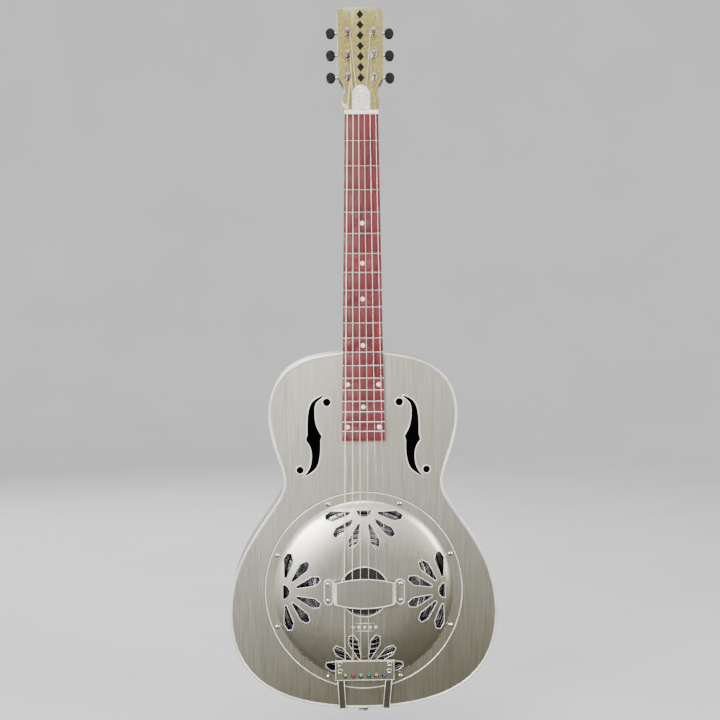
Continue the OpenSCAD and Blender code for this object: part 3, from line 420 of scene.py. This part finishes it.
def colouredBalls(name, middle, step, colours):  # one dyed ball end after another, from the bass side
    finish, tree, shader = newFinish(name)
    parts = tree.nodes.new("ShaderNodeSeparateXYZ")
    tree.links.new(patternAt(tree, (1, 1, 1)), parts.inputs["Vector"])
    count = len(colours)
    share = rangeFrom(tree, parts.outputs["X"], 0, 1, middle - step * count / 2, middle + step * count / 2)
    stops = [(i / count, colours[i]) for i in range(count)]
    dye = rampFrom(tree, share, *stops, sharp=True)
    worn = noiseFrom(tree, patternAt(tree, (900, 900, 900)), 1, 3, 0.6)
    rubbed = rampFrom(tree, worn, (0.3, (0.7, 0.7, 0.7)), (0.6, (1, 1, 1)))
    tree.links.new(blendColours(tree, 0.6, dye, rubbed, "MULTIPLY"), shader.inputs["Base Color"])
    tree.links.new(rangeFrom(tree, worn, 0.18, 0.34, 0.3, 0.7), shader.inputs["Roughness"])
    shader.inputs["Metallic"].default_value = 0.35
    return finish


# the body nickel carries the painted light and shade from neck to tail
nickel = brushedNickel("brushedNickel", nickelLook)
# a darker copy of the body nickel for the sides: painted shade
shadedSideNickel = brushedNickel("shadedSideNickel", {
    **nickelLook, "light": (0.60, 0.59, 0.49), "dark": (0.42, 0.41, 0.32),
    "paintedLitTone": (0.62, 0.605, 0.50), "paintedShadeTone": (0.34, 0.335, 0.23),
})
# near-black brown for the painted shadow in the gap round the coverplate
gapShadowPaint = smoothPlastic("paintedGapShadow", (0.05, 0.038, 0.028), (0.12, 0.09, 0.065), 0.5, 0, 60, 0.3)
# a lighter, half-metallic nickel for rolled edges, borders, bead and ornament: partly rubbed wear, partly painted
# highlight for the bright lines where edges catch the light
edgeWearAndHighlight = wornBright("rubbedEdgeAndPaintedHighlight", (0.97, 0.96, 0.92), 0.24, 0.08, 0.5)
polished = wornBright("polishedNickel", (0.78, 0.77, 0.75), 0.12)
# the straps carry the same painted light and shade from neck to tail
strapNickel = brushedNickel("strapNickel", {**nickelLook, "streaks": (1500, 1500, 12)})
aluminium = spunAluminium("spunAluminium")
# near-black for every face inside the body and for the sound well: painted shade for the dark cavity, over a guessed
# dark lacquer
insideDarkAndShade = smoothPlastic("insideLacquerAndShade", (0.006, 0.006, 0.007), (0.02, 0.019, 0.018), 0.55, 0)
# near-black maple for the biscuit
darkWood = plainWood(
    "nearBlackMaple", (0.006, 0.005, 0.005), (0.014, 0.011, 0.010), (0.03, 0.022, 0.02),
    (160, 160, 14), 0.5, 0.1,
)
maple = plainWood(
    "bareMaple", (0.45, 0.30, 0.16), (0.58, 0.42, 0.24), (0.66, 0.50, 0.31),
    (220, 220, 12), 0.5, 0,
)
mahogany = plainWood(
    "satinMahogany", (0.045, 0.014, 0.007), (0.12, 0.038, 0.018), (0.20, 0.07, 0.033),
    (420, 420, 16), 0.38, 0.3, 0.3,
)
padauk = plainWood(
    "oiledPadauk", (0.028, 0.004, 0.006), (0.17, 0.010, 0.018), (0.34, 0.022, 0.036),
    (620, 620, 22), 0.46, 0.04, 0.3,
)
pearl = pearlSheet("agedPearl", (0.15, 0.125, 0.028), (0.235, 0.20, 0.055), (0.36, 0.32, 0.11), 420)
pearlEdge = smoothPlastic("pearlBinding", (0.66, 0.62, 0.40), (0.80, 0.77, 0.55), 0.3, 0.3)
palePearl = pearlSheet("whitePearl", (0.30, 0.31, 0.26), (0.66, 0.66, 0.60), (0.97, 0.97, 0.93), 380)
bone = smoothPlastic("bone", (0.84, 0.81, 0.72), (0.95, 0.93, 0.87), 0.3, 0.2, 220)
ebonyInlay = smoothPlastic("darkInlay", (0.002, 0.002, 0.002), (0.006, 0.006, 0.006), 0.5, 0, 140, 0.15)
# a darker copy of the wound strings' bronze for the windings on the posts: painted shade
coilBronzeShaded = wornBright("paintedShadeBronze", (0.42, 0.22, 0.13), 0.25)
# the second colour is the painted shade between the turns
bronzeWire = windingWire("bronzeWinding", (1.0, 0.93, 0.78), (0.62, 0.50, 0.34), 0.00045)
steelWire = wornBright("plainSteel", (0.93, 0.93, 0.92), 0.18)
brass = wornBright("gearBrass", (0.74, 0.53, 0.24), 0.22)
# near-black buttons: the near-black is a painted reflection of dark surroundings in polished nickel buttons
darkReflectionButton = smoothPlastic("paintedDarkReflectionButton", (0.003, 0.003, 0.004), (0.012, 0.012, 0.013), 0.10, 0.0, 180, 0.4)
ballDyes = colouredBalls("dyedBallEnds", 0, 10.4 * mm, [
    (0.80, 0.66, 0.40), (0.72, 0.08, 0.11), (0.62, 0.62, 0.60),
    (0.05, 0.45, 0.52), (0.82, 0.76, 0.45), (0.07, 0.25, 0.62),
])
print("finishes mixed")


# camera, light and floor

shot = {
    "eye": (-0.080, -2.285, -0.205),
    "aim": (-0.0035, -0.009, -0.2842),
    "lens": 85.3,
    "roll": -0.30,  # degrees
    "shift": -0.045,
}


def setCamera():
    camera = bpy.data.objects.new("camera", bpy.data.cameras.new("camera"))
    bpy.context.collection.objects.link(camera)
    camera.data.lens = shot["lens"]
    camera.data.sensor_width = 36
    camera.data.clip_start, camera.data.clip_end = 0.05, 60
    eye, aim = Vector(shot["eye"]), Vector(shot["aim"])
    camera.data.shift_y = shot["shift"]
    camera.location = eye
    roll = Matrix.Rotation(math.radians(shot["roll"]), 4, "Z").to_quaternion()
    camera.rotation_euler = ((aim - eye).to_track_quat("-Z", "Y") @ roll).to_euler()
    bpy.context.scene.camera = camera


lights = {
    "front": {"at": (-1.25, -2.7, 0.35), "size": (1.3, 1.0), "power": 84, "colour": (1.0, 0.975, 0.96)},
    "side": {"at": (2.0, -1.9, 0.25), "size": (0.8, 1.5), "power": 40, "colour": (1.0, 0.98, 0.88)},
    "top": {"at": (-0.3, -0.4, 2.1), "size": (1.5, 1.5), "power": 46, "colour": (1.0, 1.0, 1.0)},
    "back": {"at": (-0.9, 2.3, 0.9), "size": (1.6, 1.6), "power": 40, "colour": (1.0, 1.0, 1.0)},
}


skyFacts = {
    "left": 0.32, "dark": -0.36, "bright": 0.20, "strength": 1.0,
    "tones": (
        (0.0, (0.19, 0.186, 0.158)), (0.35, (0.235, 0.23, 0.195)),
        (0.60, (0.62, 0.61, 0.56)), (1.0, (1.05, 1.03, 1.0)),
    ),
}


def setLights():
    middle = (cadLow + cadHigh) / 2
    for name, facts in lights.items():
        lamp = bpy.data.lights.new(name, "AREA")
        lamp.shape = "RECTANGLE"
        lamp.size, lamp.size_y = facts["size"]
        lamp.energy = facts["power"]
        lamp.color = facts["colour"]
        holder = bpy.data.objects.new(name, lamp)
        bpy.context.collection.objects.link(holder)
        holder.location = facts["at"]
        holder.rotation_euler = (middle - Vector(facts["at"])).to_track_quat("-Z", "Y").to_euler()
    world = bpy.data.worlds.new("studio")
    bpy.context.scene.world = world
    world.use_nodes = True
    tree = world.node_tree
    coords = tree.nodes.new("ShaderNodeTexCoord")
    parts = tree.nodes.new("ShaderNodeSeparateXYZ")
    tree.links.new(coords.outputs["Generated"], parts.inputs["Vector"])
    lean = tree.nodes.new("ShaderNodeMath")  # lighter overhead and on the left
    lean.operation = "MULTIPLY_ADD"
    tree.links.new(parts.outputs["X"], lean.inputs[0])
    lean.inputs[1].default_value = -skyFacts["left"]
    tree.links.new(parts.outputs["Z"], lean.inputs[2])
    height = rangeFrom(tree, lean.outputs["Value"], 0, 1, skyFacts["dark"], skyFacts["bright"])
    tone = rampFrom(tree, height, *skyFacts["tones"])
    tree.links.new(tone, tree.nodes["Background"].inputs["Color"])
    tree.nodes["Background"].inputs["Strength"].default_value = skyFacts["strength"]


floorFacts = {"below": 0.05, "radius": 3.4, "inner": 0.4, "curve": 1.5, "steps": 10, "wall": 2.2}


def layFloor():  # a flat floor that curves up into a low wall all round, so no horizon shows
    bpy.ops.object.select_all(action="DESELECT")
    height = cadLow.z - floorFacts["below"]
    bpy.ops.mesh.primitive_circle_add(
        vertices=128, radius=floorFacts["radius"], fill_type="NGON", location=(0, 0, height))
    floor = bpy.context.object
    floor.name = "floor"
    bpy.ops.object.mode_set(mode="EDIT")
    bpy.ops.mesh.select_mode(type="EDGE")
    bpy.ops.mesh.select_all(action="SELECT")
    bpy.ops.mesh.inset(thickness=floorFacts["inner"])
    bpy.ops.mesh.select_all(action="DESELECT")
    shape = bmesh.from_edit_mesh(floor.data)
    for edge in shape.edges:
        edge.select_set(edge.is_boundary)
    bmesh.update_edit_mesh(floor.data)
    across, steps = floorFacts["radius"], floorFacts["steps"]
    for step in range(steps):
        before, after = (math.pi / 2 * (step + k) / steps for k in (0, 1))
        out = floorFacts["curve"] * (math.sin(after) - math.sin(before))
        up = floorFacts["curve"] * (math.cos(before) - math.cos(after))
        bpy.ops.mesh.extrude_edges_move(TRANSFORM_OT_translate={"value": (0, 0, up)})
        bpy.ops.transform.resize(value=((across + out) / across, (across + out) / across, 1))
        across += out
    bpy.ops.mesh.extrude_edges_move(TRANSFORM_OT_translate={"value": (0, 0, floorFacts["wall"])})
    bpy.ops.mesh.select_all(action="SELECT")
    bpy.ops.mesh.normals_make_consistent(inside=True)
    bpy.ops.object.mode_set(mode="OBJECT")
    bpy.ops.object.shade_smooth()
    finish, tree, shader = newFinish("paleFloor")
    cloud = noiseFrom(tree, patternAt(tree, (3, 3, 3)), 1, 5, 0.6)
    tone = rampFrom(tree, cloud, (0.3, (0.62, 0.63, 0.65)), (0.7, (0.67, 0.68, 0.70)))
    tree.links.new(tone, shader.inputs["Base Color"])
    shader.inputs["Roughness"].default_value = 0.85
    paint(floor, finish)
    floor.visible_glossy = False  # the metal mirrors the soft sky and not the floor


pickOnly(frame["nodes"]["neck"])
setCamera()
setLights()
layFloor()
print("studio set")


# body

bodyFacts = {
    "beadRound": 0.9 * mm, "beadHeight": 0.8 * mm, "beadRadius": 1.35 * mm, "borderRadius": 0.95 * mm,
    "seamRound": 0.8 * mm, "middleHeight": -0.557,
    "holesWithin": 0.1, "holesFrom": -0.52, "holesTo": -0.36, "coneRoom": 0.128,
}


def middleOfEdge(edge):
    return (edge.verts[0].co + edge.verts[1].co) / 2


def pointsOutward(middle, way):  # away from the middle of the body
    if abs(way.x) > 0.12 and abs(middle.x) > 10 * mm:
        return middle.x * way.x > 0
    return (middle.z - bodyFacts["middleHeight"]) * way.z > 0


def squeezeIn(piece, depth):  # keeps a border within the width, height and front of the body
    pickOnly(piece)
    low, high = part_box("body_top")
    across, tall = high.x, (high.z - low.z) / 2
    centre = (0, low.y, (high.z + low.z) / 2)
    bpy.ops.object.mode_set(mode="EDIT")
    bpy.ops.mesh.select_all(action="SELECT")
    share = ((across - depth) / across, 1, (tall - depth) / tall)
    bpy.ops.transform.resize(value=share, center_override=centre)
    bpy.ops.transform.translate(value=(0, depth * 0.75, 0))
    bpy.ops.object.mode_set(mode="OBJECT")


def onSoundHole(edge, flat):  # the rim of an f-hole, on the flat of the soundboard
    if len(edge.link_faces) != 2 or min(abs(n.y) for n in facesOf(edge)) >= 0.3:
        return False
    for vert in edge.verts:
        x, y, z = vert.co
        fromCone = (Vector((x, z)) - Vector((bridgeAt.x, bridgeAt.z))).length
        inHoles = abs(x) < bodyFacts["holesWithin"] and bodyFacts["holesFrom"] < z < bodyFacts["holesTo"]
        if abs(y - flat) >= 0.05 * mm or not inHoles or fromCone <= bodyFacts["coneRoom"]:
            return False
    return True


def onCrest(edge, crest):  # on the top of the bead
    return len(edge.link_faces) == 2 and all(v.co.y < crest + 0.02 * mm for v in edge.verts)


def onOuterCrest(edge, crest):
    if not onCrest(edge, crest) or not any(n.y < -0.9 for n in facesOf(edge)):
        return False
    return any(abs(n.y) < 0.3 and pointsOutward(middleOfEdge(edge), n) for n in facesOf(edge))


def makeSoundboard():
    top = copyNode("body_top", "soundboard")
    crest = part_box("body_top")[0].y
    flat = crest + bodyFacts["beadHeight"]
    borders = rollRim(top, "soundHoleBorders", lambda e: onSoundHole(e, flat), bodyFacts["borderRadius"])
    paint(borders, edgeWearAndHighlight)
    bead = rollRim(top, "bodyBead", lambda e: onOuterCrest(e, crest), bodyFacts["beadRadius"])
    squeezeIn(bead, bodyFacts["beadRadius"])
    paint(bead, edgeWearAndHighlight)
    pickEdges(top, lambda e: onCrest(e, crest) and min(abs(n.y) for n in facesOf(e)) < 0.5)
    bpy.ops.mesh.bevel(offset=bodyFacts["beadRound"], segments=4, affect="EDGES", clamp_overlap=True)
    bpy.ops.object.mode_set(mode="OBJECT")
    bpy.ops.object.shade_smooth_by_angle(angle=math.radians(40))
    paint(top, nickel, edgeWearAndHighlight, insideDarkAndShade)
    # the bead crest takes the lighter edge nickel: painted highlight with rubbed wear
    paintFaces(top, 1, lambda f: f.calc_center_median().y < flat - 0.02 * mm)
    # faces turned into the body take the near-black: painted shade over a guessed dark lacquer
    paintFaces(top, 2, lambda f: f.normal.y > 0.9)
    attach(top, "guitar")
    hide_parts("body_top")


def makeRim():
    rim = copyNode("body_sides", "bodyRim")
    roundEdges(rim, 0.25 * mm, 2, 40)
    # the sides take the darker nickel copy: painted shade
    paint(rim, shadedSideNickel, insideDarkAndShade)
    # faces turned into the body take the near-black: painted shade over a guessed dark lacquer
    paintFaces(rim, 1, lambda f: abs(f.normal.y) < 0.5 and not pointsOutward(f.calc_center_median(), f.normal))
    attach(rim, "guitar")
    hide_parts("body_sides")
    back = copyNode("body_back", "bodyBack")
    roundEdges(back, bodyFacts["seamRound"], 3, 40)
    paint(back, nickel, insideDarkAndShade)
    # faces turned into the body take the near-black: painted shade over a guessed dark lacquer
    paintFaces(back, 1, lambda f: f.normal.y < -0.9)
    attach(back, "guitar")
    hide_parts("body_back")


makeSoundboard()
makeRim()
print("body shaped")


# coverplate

# groove is the tube radius of the dark ring of painted gap shadow
coverFacts = {
    "petalBorder": 0.52 * mm, "lip": 0.9 * mm, "rim": 0.85 * mm, "groove": 0.75 * mm,
    "petalsFrom": 0.050, "petalsTo": 0.119, "rimFrom": 0.131, "bridgeHoleTo": 0.0365,
}


def fromBridge(vert):
    return math.hypot(vert.co.x - bridgeAt.x, vert.co.z - bridgeAt.z)


def facesFront(edge):  # an outer edge of a pierced hole: one face looks forward, the other is its wall
    if len(edge.link_faces) != 2:
        return False
    ways = sorted(n.y for n in facesOf(edge))
    return ways[0] < -0.8 and abs(ways[1]) < 0.5


def makeGapShadow(pieceName, radius, depth):  # a painted shadow: a dark ring standing for the shade in the gap where the plate meets the soundboard
    bpy.ops.object.select_all(action="DESELECT")
    bpy.ops.mesh.primitive_circle_add(vertices=8, radius=coverFacts["groove"], rotation=(math.pi / 2, 0, 0))
    groove = bpy.context.object
    groove.name = pieceName
    bpy.ops.object.transform_apply(location=True, rotation=True, scale=True)
    place(groove, Matrix.Translation((radius, depth, 0)) @ Matrix.Rotation(math.pi / 2, 4, "X"))
    pickOnly(groove)
    screw = groove.modifiers.new("sweep", "SCREW")
    screw.axis = "Y"
    screw.steps = screw.render_steps = 160
    screw.use_merge_vertices = True
    bpy.ops.object.modifier_apply(modifier=screw.name)
    bpy.ops.object.mode_set(mode="EDIT")
    bpy.ops.mesh.select_all(action="SELECT")
    bpy.ops.mesh.remove_doubles(threshold=mergeWithin)
    bpy.ops.mesh.normals_make_consistent(inside=False)
    bpy.ops.object.mode_set(mode="OBJECT")
    bpy.ops.object.shade_smooth()
    place(groove, Matrix.Translation((0, 0, bridgeAt.z)))
    paint(groove, gapShadowPaint)
    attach(groove, "guitar")


def frontRim(inner, outer):  # picks the front edges whose distance from the bridge lies between the two
    return lambda edge: facesFront(edge) and all(inner < fromBridge(v) < outer for v in edge.verts)


def makeCoverplate():
    plate = copyNode("coverplate", "pressedCoverplate", 0.05)
    low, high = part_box("coverplate")
    for pieceName, inner, outer, radius in (
        ("petalBorders", coverFacts["petalsFrom"], coverFacts["petalsTo"], coverFacts["petalBorder"]),
        ("coverRimBorder", coverFacts["rimFrom"], high.x - low.x, coverFacts["rim"]),
        ("bridgeHoleBorder", 0, coverFacts["bridgeHoleTo"], coverFacts["lip"]),
    ):
        border = rollRim(plate, pieceName, frontRim(inner, outer), radius)
        paint(border, edgeWearAndHighlight)
    makeGapShadow("coverRimGroove", high.x + coverFacts["groove"], high.y - 0.1 * mm)
    pickOnly(plate)
    bpy.ops.object.shade_smooth_by_angle(angle=math.radians(28))
    paint(plate, nickel, insideDarkAndShade)
    # faces turned into the body take the near-black: painted shade over a guessed dark lacquer
    paintFaces(plate, 1, lambda f: f.normal.y > 0.7)
    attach(plate, "guitar")
    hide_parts("coverplate")


makeCoverplate()
print("coverplate pressed")


# bridge cover and tailpiece

def outerEdge(edge):  # between a face that looks forward and a side of the sheet
    if len(edge.link_faces) != 2:
        return False
    ways = sorted(n.y for n in facesOf(edge))
    return ways[0] < -0.6 and abs(ways[1]) < 0.35 and not aroundScrew(edge) and not insidePlate(edge)


hardwareFacts = {"plateBorder": 1.8 * mm, "screwInset": 2.7 * mm, "screwRoom": 3 * mm}


def insidePlate(edge):  # the holes that the ball ends and rivets sit in
    middle = middleOfEdge(edge)
    low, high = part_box("tailpiece_plate")
    inset = min(middle.x - low.x, high.x - middle.x, middle.z - low.z, high.z - middle.z)
    return inset > hardwareFacts["plateBorder"] and middle.y < high.y + 0.2 * mm


def aroundScrew(edge):  # the screw heads cover these rims
    middle = middleOfEdge(edge)
    low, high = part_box("hand_rest_screws")
    inset = hardwareFacts["screwInset"]
    aside = abs(abs(middle.x) - high.x + inset)
    return min(aside + abs(middle.z - z) for z in (low.z + inset, high.z - inset)) < hardwareFacts["screwRoom"]


def flattenShading(piece):  # flat faces stay flat beside their rounded edges
    pickOnly(piece)
    weigh = piece.modifiers.new("flattenShading", "WEIGHTED_NORMAL")
    weigh.keep_sharp = True
    bpy.ops.object.modifier_apply(modifier=weigh.name)


def makeHardware():
    for nodeName, pieceName, width, edgeRadius in (
        ("hand_rest", "bridgeCover", 0.45 * mm, 0.75 * mm),
        ("tailpiece_plate", "stringPlate", 0.30 * mm, 0.55 * mm),
        ("tailpiece_straps", "tailStraps", 0.35 * mm, 0.45 * mm),
    ):
        piece = copyNode(nodeName, pieceName)
        edge = rollRim(piece, pieceName + "Edge", outerEdge, edgeRadius)
        paint(edge, edgeWearAndHighlight)
        paint(piece, strapNickel, edgeWearAndHighlight)
        # the rounded edges take the lighter edge nickel: painted highlight with rubbed wear
        roundEdges(piece, width, 3, 30, 1)
        if nodeName == "hand_rest":
            # the hand rest's sloping faces take the lighter edge nickel: painted highlight with rubbed wear
            paintFaces(piece, 1, lambda f: -0.97 < f.normal.y < -0.12)
        flattenShading(piece)
        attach(piece, "guitar")
        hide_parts(nodeName)


makeHardware()
print("bridge cover and tailpiece bent")


# neck and headstock

def makeNeck():
    for nodeName, pieceName, width, angle, finish, slotName in (
        ("neck", "carvedNeck", 0.4 * mm, 38, mahogany, "mahogany"),
        ("fingerboard", "board", 0.3 * mm, 40, padauk, "padauk"),
        ("nut", "slottedNut", 0.25 * mm, 40, bone, "bone"),
        ("truss_rod_cover", "rodCover", 0.35 * mm, 40, palePearl, "pale_pearl"),
        ("headstock_overlay", "pearlFace", 0.75 * mm, 40, pearl, "pearl"),
    ):
        piece = copyNode(nodeName, pieceName)
        bound = nodeName == "headstock_overlay"  # only the pearl sheet has a binding of its own
        paint(piece, *((finish, pearlEdge) if bound else (finish,)))
        roundEdges(piece, width, 2, angle, 1 if bound else 0)
        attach(piece, "guitar")
        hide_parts(nodeName)


makeNeck()
print("neck carved")


# head inlays and string windings

headFacts = {
    "neckAngle": 1.8, "headTilt": 14, "nutThick": 5.5, "face": -1.2,
    "inlays": 7, "firstUp": 46.2, "step": 15.3, "wide": 9.4, "tall": 13.2, "deep": 0.25,
    "gauges": (1.35, 1.07, 0.81, 0.61, 0.41, 0.33), "woundFrom": 0.5,
    "postRadius": 3, "postOut": 17.5, "firstPost": 47.3, "postStep": 32.3,
    "stringUp": 4.6, "coilRoom": 3.4, "mostTurns": 6, "coilPitch": 1.02,
}  # millimetres and degrees


def headMatrix():
    tilt = Matrix.Rotation(math.radians(-headFacts["headTilt"]), 4, "X")
    neck = Matrix.Rotation(math.radians(-headFacts["neckAngle"]), 4, "X")
    return neck @ Matrix.Translation((0, 0, headFacts["nutThick"] * mm)) @ tilt


def makeLozenge(pieceName, wide, tall, deep, finish):  # lies in the x-z plane, with its face forward
    bpy.ops.object.select_all(action="DESELECT")
    bpy.ops.mesh.primitive_circle_add(vertices=4, radius=0.5, fill_type="NGON", rotation=(math.pi / 2, 0, 0))
    piece = bpy.context.object
    piece.name = pieceName
    bpy.ops.object.transform_apply(location=True, rotation=True, scale=True)
    bpy.ops.object.mode_set(mode="EDIT")
    bpy.ops.mesh.select_all(action="SELECT")
    bpy.ops.transform.resize(value=(wide, 1, tall))
    bpy.ops.mesh.inset(thickness=min(wide, tall) * 0.2)  # a rim and a raised middle
    bpy.ops.transform.translate(value=(0, -deep * 0.4, 0))
    bpy.ops.mesh.select_all(action="DESELECT")
    shape = bmesh.from_edit_mesh(piece.data)
    for edge in shape.edges:
        edge.select_set(edge.is_boundary)
    bmesh.update_edit_mesh(piece.data)
    bpy.ops.mesh.extrude_edges_move(TRANSFORM_OT_translate={"value": (0, deep, 0)})
    bpy.ops.mesh.fill()
    bpy.ops.mesh.select_all(action="SELECT")
    bpy.ops.mesh.normals_make_consistent(inside=False)
    bpy.ops.object.mode_set(mode="OBJECT")
    paint(piece, finish)
    return piece


def copyOf(piece, pieceName):
    twin = bpy.data.objects.new(pieceName, piece.data.copy())
    bpy.context.collection.objects.link(twin)
    return twin


def makeHeadInlays():
    wide, tall, deep = (headFacts[side] * mm for side in ("wide", "tall", "deep"))
    first = makeLozenge("headInlay1", wide, tall, deep, ebonyInlay)
    inlays = [first] + [copyOf(first, f"headInlay{i + 1}") for i in range(1, headFacts["inlays"])]
    for i, inlay in enumerate(inlays):
        up = (headFacts["firstUp"] + headFacts["step"] * i) * mm
        place(inlay, headMatrix() @ Matrix.Translation((0, headFacts["face"] * mm - deep * 0.45, up)))
        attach(inlay, "guitar")


def makeWindings():
    for i, gauge in enumerate(headFacts["gauges"]):
        row, side = (i, -1) if i < 3 else (5 - i, 1)
        turns = min(headFacts["mostTurns"], max(1, int(headFacts["coilRoom"] / gauge)))
        bpy.ops.object.select_all(action="DESELECT")
        bpy.ops.mesh.primitive_circle_add(
            vertices=8, radius=gauge / 2 * mm, fill_type="NGON", rotation=(math.pi / 2, 0, 0))
        piece = bpy.context.object
        piece.name = f"postWinding{i + 1}"
        bpy.ops.object.transform_apply(location=True, rotation=True, scale=True)
        place(piece, Matrix.Translation(((headFacts["postRadius"] + gauge / 2) * mm, 0, 0)))
        pickOnly(piece)
        screw = piece.modifiers.new("coil", "SCREW")
        screw.angle = math.tau * turns
        screw.screw_offset = gauge * turns * mm * headFacts["coilPitch"]
        screw.steps = screw.render_steps = 20 * turns
        screw.use_merge_vertices = False
        bpy.ops.object.modifier_apply(modifier=screw.name)
        bpy.ops.object.mode_set(mode="EDIT")
        bpy.ops.mesh.select_all(action="SELECT")
        bpy.ops.mesh.remove_doubles(threshold=0.000002)
        bpy.ops.mesh.fill_holes(sides=12)
        bpy.ops.mesh.normals_make_consistent(inside=False)
        bpy.ops.object.mode_set(mode="OBJECT")
        bpy.ops.object.shade_smooth_by_angle(angle=math.radians(50))
        stand = Matrix.Rotation(math.radians(90), 4, "X")
        up = headFacts["firstPost"] + headFacts["postStep"] * row
        spot = (side * headFacts["postOut"] * mm, -(headFacts["stringUp"] + gauge) * mm, up * mm)
        place(piece, headMatrix() @ Matrix.Translation(spot) @ stand)
        wound = gauge > headFacts["woundFrom"]
        # wound windings take the darker bronze copy: painted shade
        paint(piece, coilBronzeShaded if wound else steelWire)
        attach(piece, f"string_post_{row + (1 if side < 0 else 4)}")


makeHeadInlays()
makeWindings()
print("head inlays set and strings wound")


# coverplate ornament

ornamentFacts = {
    "below": 47.4 * mm, "lozenges": 5, "step": 7.6 * mm, "wide": 7.2 * mm, "tall": 7.4 * mm,
    "barWide": 35 * mm, "barTall": 1.7 * mm, "barUp": 5.2 * mm, "deep": 0.12 * mm, "sunk": 0.02 * mm,
}


def makeOrnament():
    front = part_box("coverplate")[0].y + ornamentFacts["sunk"]
    down = bridgeAt.z - ornamentFacts["below"]
    count, deep = ornamentFacts["lozenges"], ornamentFacts["deep"]
    first = makeLozenge("coverOrnament1", ornamentFacts["wide"], ornamentFacts["tall"], deep, edgeWearAndHighlight)
    marks = [first] + [copyOf(first, f"coverOrnament{i + 1}") for i in range(1, count)]
    for i, mark in enumerate(marks):
        place(mark, Matrix.Translation(((i - (count - 1) / 2) * ornamentFacts["step"], front, down)))
    bar = makeLozenge("coverOrnamentBar1", ornamentFacts["barWide"], ornamentFacts["barTall"], deep, edgeWearAndHighlight)
    bars = [bar, copyOf(bar, "coverOrnamentBar2")]
    for side, bar in zip((-1, 1), bars):
        place(bar, Matrix.Translation((0, front, down + side * ornamentFacts["barUp"])))
    for piece in marks + bars:
        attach(piece, "guitar")


makeOrnament()
print("coverplate ornament engraved")


# tuner buttons

def makeButtons():
    for i in range(1, 7):
        piece = copyNode(f"tuner_button_{i}", f"ovalButton{i}")
        roundEdges(piece, 1.1 * mm, 4, 30)
        # the buttons take the near-black painted reflection
        paint(piece, darkReflectionButton)
        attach(piece, f"tuning_button_{i}")
        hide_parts(f"tuner_button_{i}")


makeButtons()
print("buttons moulded")


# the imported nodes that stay

nodeFinishes = {
    "sound_well": insideDarkAndShade, "resonator_cone": aluminium, "biscuit": darkWood, "saddle": maple,
    "neck_stick": maple, "tail_block": maple, "stick_posts": maple, "fingerboard_wedge": mahogany,
    "fret_markers": bone, "biscuit_screw": steelWire, "truss_rod": steelWire, "truss_rod_nut": brass,
    "wound_strings": bronzeWire, "plain_strings": steelWire, "string_ball_ends": ballDyes,
}
for nodeName in (
    "coverplate_screws", "hand_rest_screws", "tailpiece_rivets", "tail_screws", "strap_button",
    "frets", "headstock_screws", "tuner_plates", "tuner_bushings",
):
    nodeFinishes[nodeName] = polished
for i in range(1, 7):
    nodeFinishes[f"tuner_post_{i}"] = polished
    nodeFinishes[f"tuner_gear_{i}"] = brass
    nodeFinishes[f"tuner_worm_{i}"] = polished

for nodeName, finish in nodeFinishes.items():
    paint(frame["nodes"][nodeName], finish)
print("packed nodes finished")
